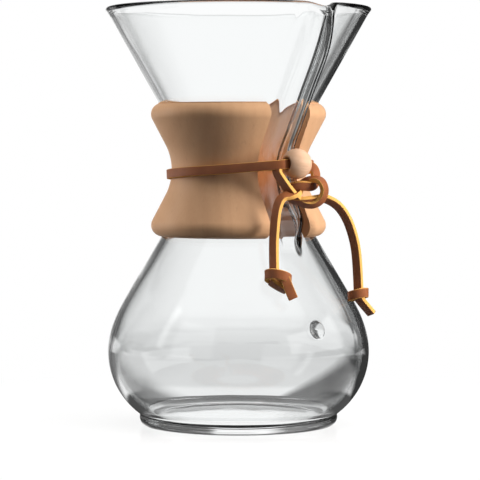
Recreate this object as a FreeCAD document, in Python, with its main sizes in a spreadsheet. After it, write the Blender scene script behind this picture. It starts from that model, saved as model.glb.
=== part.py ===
import FreeCAD, Part

import math
import os
from types import SimpleNamespace

import Sketcher

# Hourglass pour-over coffee maker: a blown glass vessel, a wooden collar in two halves round its
# neck, and a leather thong with a wooden bead that ties the halves on. Millimetres and degrees.
# The origin is on the vessel's axis at the floor, +Z is up and the pouring spout points to -Y.

Vector = FreeCAD.Vector

SIZES = [
    ("coneAngle", 29.5, "funnel wall against the axis"),
    ("neckRadius", 24.0, "outside of the glass at its waist"),
    ("neckHeight", 126.6, "floor to the waist of the glass"),
    ("funnelRise", 82.2, "waist of the glass to the rim"),
    ("neckBend", 25.0, "radius of the waist in side view"),
    ("shoulderBend", 68.0, "radius of the shoulder in side view"),
    ("bellyRise", 11.2, "widest level to where shoulder and belly meet"),
    ("bulbRadius", 65.3, "outside of the bulb at its widest"),
    ("bulbHeight", 37.4, "floor to the widest level"),
    ("bellySink", 1.1, "how far the belly's circle would reach under the floor"),
    ("footRadius", 49.5, "outside of the foot ring"),
    ("heelBend", 4.5, "rounding of the foot ring"),
    ("standInner", 38.0, "inner radius of the ring that rests on the table"),
    ("puntRise", 3.5, "how far the base is pushed up at its centre"),
    ("glassWall", 3.0, "wall of the vessel"),
    ("floorDepth", 3.6, "glass under the bowl's floor at its centre"),
    ("floorCurve", 300.0, "radius of the bowl's floor"),
    ("floorBend", 7.0, "rounding between floor and belly, inside"),
    ("rimWaste", 8.0, "glass blown above the rim and cut off"),
    ("rimRound", 1.2, "rounding of the rim's edges"),
    ("channelStand", 12.6, "how far the channel stands out of the funnel"),
    ("channelHalf", 8.7, "half width of the channel up the funnel"),
    ("waistHalf", 8.3, "half width of the channel beside the bead"),
    ("toeHalf", 9.1, "half width of the channel at its lower end"),
    ("waistStand", 15.0, "how far the channel stands out of the neck beside the bead"),
    ("hipStand", 16.4, "the same under the bead"),
    ("toeStand", 17.5, "the same at the channel's toe"),
    ("rootStand", 17.0, "the same inside the shoulder"),
    ("rootLevel", -42.6, "waist of the glass to the channel's root"),
    ("spoutStand", 3.2, "how far the spout's tip stands out of the rim"),
    ("spoutDrop", 3.7, "how far the spout's tip dips under the rim"),
    ("dipStand", -4.3, "rim to where it starts to dip"),
    ("creaseBend", 2.0, "rounding where channel and funnel meet, outside"),
    ("boreCreaseBend", 3.0, "rounding where channel and funnel meet, inside"),
    ("buttonHeight", 51.6, "floor to the half-volume button"),
    ("buttonRadius", 4.0, "radius of the button"),
    ("buttonRise", 1.5, "how far the button stands out of the bulb"),
    ("collarHeight", 66.4, "height of the wooden collar"),
    ("collarLevel", 1.4, "waist of the glass to the collar's waist"),
    ("collarDepth", 9.4, "glass to the outside of the collar at its waist"),
    ("collarHollow", 27.0, "radius of the collar's hollow in side view"),
    ("lipStand", 10.3, "how far the collar's lips stand out of its waist"),
    ("lipBend", 5.5, "rounding of the collar's lips"),
    ("collarFit", 0.3, "gap between glass and wood"),
    ("gapHalf", 12.0, "half width of the opening in front for the channel"),
    ("kerf", 1.6, "saw cut between the halves at the back"),
    ("cutRound", 1.2, "softened edge of the front cut faces"),
    ("beadRadius", 7.4, "radius of the bead"),
    ("beadLevel", 4.6, "waist of the glass to the bead's centre"),
    ("beadBore", 3.0, "radius of the hole through the bead"),
    ("beadFit", 0.15, "gap between bead and channel"),
    ("strapWidth", 4.6, "width of the thong"),
    ("strapDepth", 2.3, "thickness of the thong"),
    ("strapFit", 0.9, "gap between thong and the collar's waist"),
    ("bandCorner", 11.0, "bead's centre to the thong's bend beside it"),
    ("bandBend", 4.5, "radius of the thong's bend beside the bead"),
    ("bandTilt", 3.6, "slope of the thong round the collar"),
]


# Sizes that follow from others: each is the sum of two.
SUMS = {
    "bellyTop": ("bulbHeight", "bellyRise"),
    "bellyBend": ("bulbHeight", "bellySink"),
    "vesselHeight": ("neckHeight", "funnelRise"),
    "rootHeight": ("neckHeight", "rootLevel"),
    "beadHeight": ("neckHeight", "beadLevel"),
    "waistCrest": ("neckRadius", "waistStand"),
    "hipCrest": ("neckRadius", "hipStand"),
    "toeCrest": ("neckRadius", "toeStand"),
    "rootCrest": ("neckRadius", "rootStand"),
    "spoutReach": ("rimRadius", "spoutStand"),
    "dipStart": ("rimRadius", "dipStand"),
    "collarMid": ("neckHeight", "collarLevel"),
    "collarWaist": ("neckRadius", "collarDepth"),
    "lipRadius": ("collarWaist", "lipStand"),
}

FUNNEL_RADIUS = (
    "(Sizes.neckRadius + Sizes.neckBend * (1 - cos(Sizes.coneAngle))"
    " + ({level} - Sizes.neckHeight - Sizes.neckBend * sin(Sizes.coneAngle))"
    " * tan(Sizes.coneAngle))"
)


def formula(text):
    """Write the sizes that follow from others as the sheet's own cells."""
    for name in reversed(SUMS):
        first, second = SUMS[name]
        text = text.replace(f"Sizes.{name}", f"(Sizes.{first} + Sizes.{second})")
    rim = FUNNEL_RADIUS.format(level="(Sizes.neckHeight + Sizes.funnelRise)")
    return text.replace("Sizes.rimRadius", rim)


def make_sheet(doc):
    sheet = doc.addObject("Spreadsheet::Sheet", "Sizes")
    for row, (alias, value, meaning) in enumerate(SIZES, start=1):
        sheet.set(f"A{row}", alias)
        sheet.set(f"B{row}", str(value))
        sheet.set(f"C{row}", meaning)
        sheet.setAlias(f"B{row}", alias)
    doc.recompute()
    size = SimpleNamespace(**{alias: float(sheet.get(alias)) for alias, value, meaning in SIZES})
    for name, (first, second) in SUMS.items():
        if first == "rimRadius":
            size.rimRadius = side_radius(size, size.vesselHeight)
        setattr(size, name, getattr(size, first) + getattr(size, second))
    return size


# Sketching: every length in a sketch is tied to the sheet by an expression.

POINTS = ("edge", "start", "end", "centre")
START, END, CENTRE = (POINTS.index(name) for name in POINTS[1:])
AXES = {"across": -1, "up": -2}
AXIS_X, AXIS_Y = AXES["across"], AXES["up"]
ORIGIN = (AXIS_X, START)


def new_body(doc, label):
    body = doc.addObject("PartDesign::Body", label)
    body.Label = label
    return body


def new_sketch(body, role, name, lift=None):
    """A sketch on one of the body's own origin planes, moved along its normal by lift."""
    plane = next(f for f in body.Origin.OriginFeatures if f.Role == role)
    sketch = body.newObject("Sketcher::SketchObject", name)
    sketch.AttachmentSupport = (plane, [""])
    sketch.MapMode = "FlatFace"
    if lift:
        sketch.setExpression("AttachmentOffset.Base.z", formula(lift))
    return sketch


def line(sketch, start, end):
    return sketch.addGeometry(Part.LineSegment(Vector(*start, 0), Vector(*end, 0)))


def arc(sketch, centre, radius, first, last):
    """A round stretch, counter-clockwise from the first angle to the last, in radians."""
    circle = Part.Circle(Vector(*centre, 0), Vector(0, 0, 1), radius)
    return sketch.addGeometry(Part.ArcOfCircle(circle, first, last))


def tie(sketch, kind, *where, to):
    """A dimension whose value follows the sheet."""
    geometry, point = (where[-2], where[-1]) if len(where) > 1 else (where[0], START)
    spot = sketch.getPoint(geometry, point)
    start_value = {"DistanceX": spot.x, "DistanceY": spot.y}.get(kind)
    if kind == "Radius":
        start_value = sketch.Geometry[geometry].Radius
    if kind == "Angle":
        run = sketch.Geometry[geometry]
        start_value = math.atan2(
            run.EndPoint.y - run.StartPoint.y, run.EndPoint.x - run.StartPoint.x
        )
    index = sketch.addConstraint(Sketcher.Constraint(kind, *where, start_value))
    sketch.setExpression(f"Constraints[{index}]", formula(to))


def hold(sketch, kind, *where):
    sketch.addConstraint(Sketcher.Constraint(kind, *where))


def place(sketch, geometry, point, across, up):
    """Put a point at a distance from both of the sketch's axes."""
    tie(sketch, "DistanceX", *ORIGIN, geometry, point, to=across)
    tie(sketch, "DistanceY", *ORIGIN, geometry, point, to=up)


def at_angle(centre, radius, angle):
    return centre[0] + radius * math.cos(angle), centre[1] + radius * math.sin(angle)


def meeting_point(first, first_radius, second, second_radius):
    """Where two circles cross, on the side further from the axis."""
    across, up = second[0] - first[0], second[1] - first[1]
    apart = math.hypot(across, up)
    along = (apart**2 + first_radius**2 - second_radius**2) / (2 * apart)
    aside = math.sqrt(first_radius**2 - along**2)
    unit = (across / apart, up / apart)
    spots = [
        (
            first[0] + along * unit[0] - side * aside * unit[1],
            first[1] + along * unit[1] + side * aside * unit[0],
        )
        for side in (1, -1)
    ]
    return max(spots)


def angle_to(centre, spot):
    return math.atan2(spot[1] - centre[1], spot[0] - centre[0])


# The vessel's side is two arcs for the bulb, a straight shoulder, an arc for the neck and the
# straight funnel wall. The cavity and the collar's bore are the same side, moved by an inset.


def side_shape(size, inset):
    """The numbers from which a sketch of the side starts."""
    cone = math.radians(size.coneAngle)
    neck = (size.neckRadius + size.neckBend, size.neckHeight)
    belly = (size.bulbRadius - size.bellyBend, size.bulbHeight)
    join = math.asin((size.bellyTop - size.bulbHeight) / size.bellyBend)
    shoulder = at_angle(belly, size.bellyBend - size.shoulderBend, join)
    across, up = neck[0] - shoulder[0], neck[1] - shoulder[1]
    slope = math.atan2(up, across) - math.acos(
        (size.shoulderBend + size.neckBend) / math.hypot(across, up)
    )
    return SimpleNamespace(
        cone=cone,
        neck=neck,
        neck_bend=size.neckBend + inset,
        belly=belly,
        belly_bend=size.bellyBend - inset,
        join=join,
        shoulder=shoulder,
        shoulder_bend=size.shoulderBend - inset,
        slope=slope,
    )


def draw_side(sketch, shape, inset, first, top, top_height):
    """Draw the side from an angle on the belly up to top; returns the belly arc and the wall."""
    belly = arc(sketch, shape.belly, shape.belly_bend, first, shape.join)
    shoulder = arc(sketch, shape.shoulder, shape.shoulder_bend, shape.join, shape.slope)
    low = at_angle(shape.shoulder, shape.shoulder_bend, shape.slope)
    under_neck = at_angle(shape.neck, shape.neck_bend, math.pi + shape.slope)
    incline = line(sketch, low, under_neck)
    neck = arc(
        sketch, shape.neck, shape.neck_bend, math.pi - shape.cone, math.pi + shape.slope
    )
    over_neck = at_angle(shape.neck, shape.neck_bend, math.pi - shape.cone)
    rise = top_height - over_neck[1]
    wall = line(sketch, over_neck, (over_neck[0] + rise * math.tan(shape.cone), top_height))
    place(sketch, belly, CENTRE, "Sizes.bulbRadius - Sizes.bellyBend", "Sizes.bulbHeight")
    tie(sketch, "Radius", belly, to=f"Sizes.bellyBend - {inset}")
    join_height = (
        f"Sizes.bulbHeight + (Sizes.bellyTop - Sizes.bulbHeight)"
        f" * (Sizes.bellyBend - {inset}) / Sizes.bellyBend"
    )
    tie(sketch, "DistanceY", *ORIGIN, belly, END, to=join_height)
    hold(sketch, "Tangent", belly, END, shoulder, START)
    tie(sketch, "Radius", shoulder, to=f"Sizes.shoulderBend - {inset}")
    hold(sketch, "Tangent", shoulder, END, incline, START)
    place(sketch, neck, CENTRE, "Sizes.neckRadius + Sizes.neckBend", "Sizes.neckHeight")
    tie(sketch, "Radius", neck, to=f"Sizes.neckBend + {inset}")
    hold(sketch, "Tangent", incline, END, neck, END)
    hold(sketch, "Tangent", neck, START, wall, START)
    tie(sketch, "Angle", wall, to="90 deg - Sizes.coneAngle * 1 deg")
    tie(sketch, "DistanceY", *ORIGIN, wall, END, to=top)
    return belly, wall


def close_to_axis(sketch, wall, bottom, bottom_end):
    """Close an outline over its top and down the axis to the given end of the bottom piece."""
    corner = sketch.getPoint(wall, END)
    foot = sketch.getPoint(bottom, bottom_end)
    lid = line(sketch, (corner.x, corner.y), (0, corner.y))
    axis = line(sketch, (0, corner.y), (foot.x, foot.y))
    hold(sketch, "Coincident", wall, END, lid, START)
    hold(sketch, "Horizontal", lid)
    hold(sketch, "PointOnObject", lid, END, AXIS_Y)
    hold(sketch, "Coincident", lid, END, axis, START)
    hold(sketch, "Coincident", axis, END, bottom, bottom_end)


def sketch_vessel_outside(body, size):
    shape = side_shape(size, 0)
    sketch = new_sketch(body, "XZ_Plane", "vessel_outside")
    heel_centre = (size.footRadius - size.heelBend, size.heelBend)
    crease = meeting_point(heel_centre, size.heelBend, shape.belly, shape.belly_bend)
    dome = (size.standInner**2 + size.puntRise**2) / (2 * size.puntRise)
    dome_centre = (0, size.puntRise - dome)
    ring_start = (size.standInner, 0)
    punt = arc(sketch, dome_centre, dome, angle_to(dome_centre, ring_start), math.pi / 2)
    ring = line(sketch, ring_start, (heel_centre[0], 0))
    heel = arc(
        sketch, heel_centre, size.heelBend, -math.pi / 2, angle_to(heel_centre, crease)
    )
    hold(sketch, "PointOnObject", punt, CENTRE, AXIS_Y)
    hold(sketch, "PointOnObject", punt, END, AXIS_Y)
    hold(sketch, "PointOnObject", punt, START, AXIS_X)
    tie(sketch, "DistanceY", *ORIGIN, punt, END, to="Sizes.puntRise")
    tie(sketch, "DistanceX", *ORIGIN, punt, START, to="Sizes.standInner")
    hold(sketch, "Coincident", punt, START, ring, START)
    hold(sketch, "Horizontal", ring)
    hold(sketch, "Tangent", ring, END, heel, START)
    tie(sketch, "Radius", heel, to="Sizes.heelBend")
    tie(sketch, "DistanceX", *ORIGIN, heel, CENTRE, to="Sizes.footRadius - Sizes.heelBend")
    belly, wall = draw_side(
        sketch,
        shape,
        "0",
        angle_to(shape.belly, crease),
        "Sizes.vesselHeight + Sizes.rimWaste",
        size.vesselHeight + size.rimWaste,
    )
    hold(sketch, "Coincident", heel, END, belly, START)
    close_to_axis(sketch, wall, punt, END)
    return sketch


def sketch_vessel_cavity(body, size):
    shape = side_shape(size, size.glassWall)
    sketch = new_sketch(body, "XZ_Plane", "vessel_cavity")
    middle = size.puntRise + size.floorDepth
    floor_centre = (0, middle - size.floorCurve)
    corner_centre = meeting_point(
        floor_centre,
        size.floorCurve + size.floorBend,
        shape.belly,
        shape.belly_bend - size.floorBend,
    )
    floor_angle = angle_to(floor_centre, corner_centre)
    belly_angle = angle_to(shape.belly, corner_centre)
    floor = arc(sketch, floor_centre, size.floorCurve, floor_angle, math.pi / 2)
    corner = arc(
        sketch, corner_centre, size.floorBend, floor_angle - math.pi, belly_angle
    )
    hold(sketch, "PointOnObject", floor, CENTRE, AXIS_Y)
    hold(sketch, "PointOnObject", floor, END, AXIS_Y)
    tie(sketch, "DistanceY", *ORIGIN, floor, END, to="Sizes.puntRise + Sizes.floorDepth")
    tie(sketch, "Radius", floor, to="Sizes.floorCurve")
    tie(sketch, "Radius", corner, to="Sizes.floorBend")
    hold(sketch, "Tangent", floor, START, corner, START)
    belly, wall = draw_side(
        sketch,
        shape,
        "Sizes.glassWall",
        belly_angle,
        "Sizes.vesselHeight + 2 * Sizes.rimWaste",
        size.vesselHeight + 2 * size.rimWaste,
    )
    hold(sketch, "Tangent", corner, END, belly, START)
    close_to_axis(sketch, wall, floor, END)
    return sketch


def sketch_collar_bore(body, size):
    """The vessel's side moved out by the fit, from the widest level up."""
    shape = side_shape(size, -size.collarFit)
    sketch = new_sketch(body, "XZ_Plane", "collar_bore")
    level = line(
        sketch, (0, size.bulbHeight), (size.bulbRadius + size.collarFit, size.bulbHeight)
    )
    hold(sketch, "Horizontal", level)
    hold(sketch, "PointOnObject", level, START, AXIS_Y)
    tie(sketch, "DistanceY", *ORIGIN, level, START, to="Sizes.bulbHeight")
    belly, wall = draw_side(
        sketch, shape, "(-Sizes.collarFit)", 0, "Sizes.vesselHeight", size.vesselHeight
    )
    hold(sketch, "Coincident", level, END, belly, START)
    close_to_axis(sketch, wall, level, START)
    return sketch


def revolve(body, kind, name, sketch):
    feature = body.newObject(kind, name)
    feature.Profile = sketch
    feature.ReferenceAxis = (sketch, ["V_Axis"])
    feature.Angle = 360
    return feature


# The channel beside the funnel is a loft of upright U sections, open towards the axis.


def side_radius(size, level, inset=0):
    """Radius of the glass, or of its inside, at a level above the shoulder's round part."""
    shape = side_shape(size, inset)
    over = shape.neck[1] + shape.neck_bend * math.sin(shape.cone)
    under = shape.neck[1] - shape.neck_bend * math.sin(shape.slope)
    if level > over:
        start = shape.neck[0] - shape.neck_bend * math.cos(shape.cone)
        return start + (level - over) * math.tan(shape.cone)
    if level < under:
        start = shape.neck[0] - shape.neck_bend * math.cos(shape.slope)
        return start + (under - level) * math.tan(shape.slope)
    return shape.neck[0] - math.sqrt(shape.neck_bend**2 - (level - shape.neck[1]) ** 2)


# Crest and half width of the channel's sections, evenly spaced from its root to above the rim.
# A section with no crest of its own stands out of the funnel by channelStand.
CHANNEL = [
    ("rootCrest", "toeHalf"),
    ("toeCrest", "toeHalf"),
    ("hipCrest", "toeHalf"),
    ("waistCrest", "waistHalf"),
    (None, "channelHalf"),
    (None, "channelHalf"),
    (None, "channelHalf"),
    ("spoutReach", "channelHalf"),
    ("spoutReach", "channelHalf"),
]


def channel_stations(size):
    """Level, crest and half width of each section: each as a number and as an expression."""
    last = len(CHANNEL) - 1
    rise = (size.vesselHeight + size.rimWaste - size.rootHeight) / last
    rise_text = f"(Sizes.vesselHeight + Sizes.rimWaste - Sizes.rootHeight) / {last}"
    stations = []
    for number, (crest, half) in enumerate(CHANNEL):
        level = size.rootHeight + number * rise
        level_text = f"(Sizes.rootHeight + {number} * {rise_text})"
        if crest:
            reach, reach_text = getattr(size, crest), f"Sizes.{crest}"
        else:
            reach = side_radius(size, level) + size.channelStand
            reach_text = FUNNEL_RADIUS.format(level=level_text) + " + Sizes.channelStand"
        stations.append(
            (level, level_text, reach, reach_text, getattr(size, half), f"Sizes.{half}")
        )
    return stations


def sketch_channel_section(body, name, size, station, inset, inset_text):
    level, level_text, crest, crest_text, half, half_text = station
    sketch = new_sketch(body, "XY_Plane", name, lift=level_text)
    bend = half - inset
    back = -size.neckRadius / 2
    middle = -(crest - half)
    left = line(sketch, (-bend, back), (-bend, middle))
    front = arc(sketch, (0, middle), bend, math.pi, 2 * math.pi)
    right = line(sketch, (bend, middle), (bend, back))
    rear = line(sketch, (bend, back), (-bend, back))
    hold(sketch, "Tangent", left, END, front, START)
    hold(sketch, "Tangent", front, END, right, START)
    hold(sketch, "Coincident", right, END, rear, START)
    hold(sketch, "Coincident", rear, END, left, START)
    hold(sketch, "Vertical", left)
    hold(sketch, "Vertical", right)
    hold(sketch, "Horizontal", rear)
    hold(sketch, "PointOnObject", front, CENTRE, AXIS_Y)
    tie(sketch, "Radius", front, to=f"{half_text} - {inset_text}")
    tie(sketch, "DistanceY", *ORIGIN, front, CENTRE, to=f"-(({crest_text}) - {half_text})")
    tie(sketch, "DistanceY", *ORIGIN, rear, START, to="-Sizes.neckRadius / 2")
    return sketch


def loft_channel(body, kind, name, size, inset, inset_text):
    sections = [
        sketch_channel_section(body, f"{name}_{number}", size, station, inset, inset_text)
        for number, station in enumerate(channel_stations(size))
    ]
    loft = body.newObject(kind, name)
    loft.Profile = sections[0]
    loft.Sections = sections[1:]
    loft.Ruled = False
    return loft


def pad_button(body, size):
    """The half-volume button under the spout, rooted in the bulb's wall."""
    root = "(Sizes.bulbRadius - 2 * Sizes.buttonRise - Sizes.glassWall / 2)"
    sketch = new_sketch(body, "XZ_Plane", "button_round", lift=root)
    circle = Part.Circle(Vector(0, size.buttonHeight, 0), Vector(0, 0, 1), size.buttonRadius)
    disc = sketch.addGeometry(circle)
    hold(sketch, "PointOnObject", disc, CENTRE, AXIS_Y)
    tie(sketch, "DistanceY", *ORIGIN, disc, CENTRE, to="Sizes.buttonHeight")
    tie(sketch, "Radius", disc, to="Sizes.buttonRadius")
    pad = body.newObject("PartDesign::Pad", "button")
    pad.Profile = sketch
    pad.setExpression("Length", "Sizes.glassWall / 2 + 1.2 * Sizes.buttonRise")
    return pad


def cut_rim(body, size):
    """Cut the glass off level, in a curve that leads down to the spout's tip."""
    reach = size.spoutReach - size.dipStart
    bend = (reach**2 + size.spoutDrop**2) / (2 * size.spoutDrop)
    reach_text = "(Sizes.spoutReach - Sizes.dipStart)"
    bend_text = f"({reach_text}^2 + Sizes.spoutDrop^2) / (2 * Sizes.spoutDrop)"
    rim = size.vesselHeight
    wide = 2 * size.spoutReach
    sketch = new_sketch(body, "YZ_Plane", "above_rim")
    level = line(sketch, (wide, rim), (-size.dipStart, rim))
    dip = arc(sketch, (-size.dipStart, rim - bend), bend, math.pi / 2, math.pi)
    outer = line(sketch, (-size.dipStart - bend, rim - bend), (-size.dipStart - bend, wide * 2))
    over = line(sketch, (-size.dipStart - bend, wide * 2), (wide, wide * 2))
    back = line(sketch, (wide, wide * 2), (wide, rim))
    hold(sketch, "Tangent", level, END, dip, START)
    hold(sketch, "Tangent", dip, END, outer, START)
    hold(sketch, "Coincident", outer, END, over, START)
    hold(sketch, "Coincident", over, END, back, START)
    hold(sketch, "Coincident", back, END, level, START)
    hold(sketch, "Horizontal", level)
    hold(sketch, "Vertical", outer)
    hold(sketch, "Horizontal", over)
    hold(sketch, "Vertical", back)
    place(sketch, level, END, "-Sizes.dipStart", "Sizes.vesselHeight")
    tie(sketch, "Radius", dip, to=bend_text)
    place(sketch, over, END, "2 * Sizes.spoutReach", "4 * Sizes.spoutReach")
    return cut_through(body, "rim_cut", sketch)


def cut_through(body, name, sketch):
    pocket = body.newObject("PartDesign::Pocket", name)
    pocket.Profile = sketch
    pocket.Type = "ThroughAll"
    pocket.Midplane = True
    return pocket


def round_edges(body, name, radius, wanted):
    """Round the edges of the body so far that the test picks."""
    base = body.Tip
    names = [
        f"Edge{number}"
        for number, edge in enumerate(base.Shape.Edges, start=1)
        if wanted(edge)
    ]
    fillet = body.newObject("PartDesign::Fillet", name)
    fillet.Base = (base, names)
    fillet.setExpression("Radius", radius)
    return fillet


def middle_of(edge):
    return edge.valueAt((edge.FirstParameter + edge.LastParameter) / 2)


def lies_high(size):
    """Edges of the rim and of the spout's lip, at the top of the vessel."""
    lowest = size.vesselHeight - 1.4 * size.spoutDrop

    def test(edge):
        return edge.BoundBox.ZMin > lowest

    return test


def lies_in_crease(size, inset):
    """Edges where the channel meets the funnel, the neck and the shoulder."""
    at_rim = lies_high(size)

    def test(edge):
        middle = middle_of(edge)
        beside = middle.y < 0 and abs(middle.x) < size.gapHalf and middle.z > size.rootHeight
        off = math.hypot(middle.x, middle.y) - side_radius(size, middle.z, inset)
        return beside and abs(off) < 0.05 and not at_rim(edge)

    return test


def make_vessel(doc, size):
    body = new_body(doc, "glass_vessel")
    revolve(body, "PartDesign::Revolution", "outside", sketch_vessel_outside(body, size))
    loft_channel(body, "PartDesign::AdditiveLoft", "channel", size, 0, "0")
    pad_button(body, size)
    solid = checked_volume(doc, body)
    revolve(body, "PartDesign::Groove", "cavity", sketch_vessel_cavity(body, size))
    hollow = checked_volume(doc, body, less_than=solid)
    loft_channel(
        body, "PartDesign::SubtractiveLoft", "channel_bore", size, size.glassWall, "Sizes.glassWall"
    )
    bored = checked_volume(doc, body, less_than=hollow)
    cut_rim(body, size)
    checked_volume(doc, body, less_than=bored)
    round_edges(body, "crease", "Sizes.creaseBend", lies_in_crease(size, 0))
    doc.recompute()
    bore_test = lies_in_crease(size, size.glassWall)
    round_edges(body, "bore_crease", "Sizes.boreCreaseBend", bore_test)
    doc.recompute()
    round_edges(body, "rim_round", "Sizes.rimRound", lies_high(size))
    return body


def checked_volume(doc, body, less_than=None):
    """Recompute, and make sure that the last cut took something away."""
    doc.recompute()
    volume = body.Shape.Volume
    if less_than is not None and not volume < less_than - 1:
        raise RuntimeError(f"{body.Label}: {body.Tip.Name} cuts nothing")
    return volume


# The collar is turned as one blank that fits the neck, then sawn into two halves.


def sketch_collar_blank(body, size):
    half = size.collarHeight / 2
    lip_centre = (size.lipRadius - size.lipBend, half - size.lipBend)
    waist_centre = (size.collarWaist + size.collarHollow, 0)
    across = waist_centre[0] - lip_centre[0]
    slope = math.atan2(lip_centre[1], across) - math.acos(
        (size.collarHollow + size.lipBend) / math.hypot(across, lip_centre[1])
    )
    sketch = new_sketch(body, "XZ_Plane", "collar_side")
    mid = size.collarMid
    lower_centre = (lip_centre[0], mid - lip_centre[1])
    upper_centre = (lip_centre[0], mid + lip_centre[1])
    hollow_centre = (waist_centre[0], mid)
    lower_lip = arc(sketch, lower_centre, size.lipBend, -math.pi / 2, slope)
    upper_lip = arc(sketch, upper_centre, size.lipBend, -slope, math.pi / 2)
    hollow = arc(sketch, hollow_centre, size.collarHollow, math.pi - slope, math.pi + slope)
    lower_flank = line(
        sketch,
        at_angle(lower_centre, size.lipBend, slope),
        at_angle(hollow_centre, size.collarHollow, math.pi + slope),
    )
    upper_flank = line(
        sketch,
        at_angle(hollow_centre, size.collarHollow, math.pi - slope),
        at_angle(upper_centre, size.lipBend, -slope),
    )
    top = line(sketch, (lip_centre[0], mid + half), (0, mid + half))
    axis = line(sketch, (0, mid + half), (0, mid - half))
    bottom = line(sketch, (0, mid - half), (lip_centre[0], mid - half))
    hold(sketch, "Tangent", lower_lip, END, lower_flank, START)
    hold(sketch, "Tangent", lower_flank, END, hollow, END)
    hold(sketch, "Tangent", hollow, START, upper_flank, START)
    hold(sketch, "Tangent", upper_flank, END, upper_lip, START)
    hold(sketch, "Tangent", upper_lip, END, top, START)
    hold(sketch, "Tangent", bottom, END, lower_lip, START)
    hold(sketch, "Coincident", top, END, axis, START)
    hold(sketch, "Coincident", axis, END, bottom, START)
    hold(sketch, "Horizontal", top)
    hold(sketch, "Horizontal", bottom)
    hold(sketch, "PointOnObject", top, END, AXIS_Y)
    hold(sketch, "PointOnObject", bottom, START, AXIS_Y)
    lip_text = "Sizes.lipRadius - Sizes.lipBend"
    reach = "(Sizes.collarHeight / 2 - Sizes.lipBend)"
    place(sketch, lower_lip, CENTRE, lip_text, f"Sizes.collarMid - {reach}")
    place(sketch, upper_lip, CENTRE, lip_text, f"Sizes.collarMid + {reach}")
    place(sketch, hollow, CENTRE, "Sizes.collarWaist + Sizes.collarHollow", "Sizes.collarMid")
    tie(sketch, "Radius", lower_lip, to="Sizes.lipBend")
    tie(sketch, "Radius", upper_lip, to="Sizes.lipBend")
    tie(sketch, "Radius", hollow, to="Sizes.collarHollow")
    return sketch


def sketch_saw_cuts(body, size, side):
    """All that lies beyond one half: the front opening, the kerf and the other half."""
    far = 2 * size.lipRadius
    front, back = side * size.gapHalf, side * size.kerf / 2
    corners = [
        ((-side * far, -far), "far", "low"),
        ((front, -far), "front", "low"),
        ((front, 0), "front", "middle"),
        ((back, 0), "back", "middle"),
        ((back, far), "back", "high"),
        ((-side * far, far), "far", "high"),
    ]
    sign = "" if side > 0 else "-"
    other = "-" if side > 0 else ""
    across = {
        "far": f"{other}2 * Sizes.lipRadius",
        "front": f"{sign}Sizes.gapHalf",
        "back": f"{sign}Sizes.kerf / 2",
    }
    along = {"low": "-2 * Sizes.lipRadius", "high": "2 * Sizes.lipRadius"}
    sketch = new_sketch(body, "XY_Plane", "saw_cuts")
    edges = [
        line(sketch, corners[n][0], corners[(n + 1) % len(corners)][0])
        for n in range(len(corners))
    ]
    for number, (spot, column, row) in enumerate(corners):
        hold(sketch, "Coincident", edges[number - 1], END, edges[number], START)
        tie(sketch, "DistanceX", *ORIGIN, edges[number], START, to=across[column])
        if row == "middle":
            hold(sketch, "PointOnObject", edges[number], START, AXIS_X)
        else:
            tie(sketch, "DistanceY", *ORIGIN, edges[number], START, to=along[row])
    return sketch


def lies_on_front_cut(size, side):
    """The outer edges of the sawn face beside the channel."""
    plane = side * size.gapHalf

    def test(edge):
        box = edge.BoundBox
        flat = abs(box.XMin - plane) < 0.01 and abs(box.XMax - plane) < 0.01
        middle = middle_of(edge)
        outside = middle.y < -math.sqrt((size.collarWaist - 1) ** 2 - size.gapHalf**2)
        inner = abs(math.hypot(middle.x, middle.y) - side_radius(size, middle.z)) < 1
        return flat and outside and not inner

    return test


def make_collar_half(doc, size, label, side):
    body = new_body(doc, label)
    revolve(body, "PartDesign::Revolution", "turned", sketch_collar_blank(body, size))
    blank = checked_volume(doc, body)
    revolve(body, "PartDesign::Groove", "bore", sketch_collar_bore(body, size))
    bored = checked_volume(doc, body, less_than=blank)
    cut_through(body, "sawn", sketch_saw_cuts(body, size, side))
    checked_volume(doc, body, less_than=bored)
    round_edges(body, "softened", "Sizes.cutRound", lies_on_front_cut(size, side))
    return body


def make_bead(doc, size):
    """A turned ball with a hole from side to side, resting against the channel."""
    body = new_body(doc, "bead")
    sketch = new_sketch(body, "XY_Plane", "bead_round")
    mouth = math.sqrt(size.beadRadius**2 - size.beadBore**2)
    turn = math.atan2(size.beadBore, mouth)
    ball = arc(sketch, (0, 0), size.beadRadius, turn, math.pi - turn)
    bore = line(sketch, (-mouth, size.beadBore), (mouth, size.beadBore))
    hold(sketch, "Coincident", ball, CENTRE, *ORIGIN)
    hold(sketch, "Coincident", ball, END, bore, START)
    hold(sketch, "Coincident", bore, END, ball, START)
    hold(sketch, "Horizontal", bore)
    tie(sketch, "Radius", ball, to="Sizes.beadRadius")
    tie(sketch, "DistanceY", *ORIGIN, bore, START, to="Sizes.beadBore")
    turned = revolve(body, "PartDesign::Revolution", "bead_turned", sketch)
    turned.ReferenceAxis = (sketch, ["H_Axis"])
    reach = "Sizes.waistCrest + Sizes.beadFit + Sizes.beadRadius"
    body.setExpression("Placement.Base.y", formula(f"-({reach})"))
    body.setExpression("Placement.Base.z", formula("Sizes.beadHeight"))
    return body


# The thong: a band round the collar that runs through the bead, a knot under the bead, and two
# tails that each end in a knot.


def add_solid(doc, label, shape):
    feature = doc.addObject("Part::Feature", label)
    feature.Shape = shape
    feature.Label = label
    return feature


def bead_middle(size):
    reach = size.waistCrest + size.beadFit + size.beadRadius
    return Vector(0, -reach, size.beadHeight)


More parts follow.
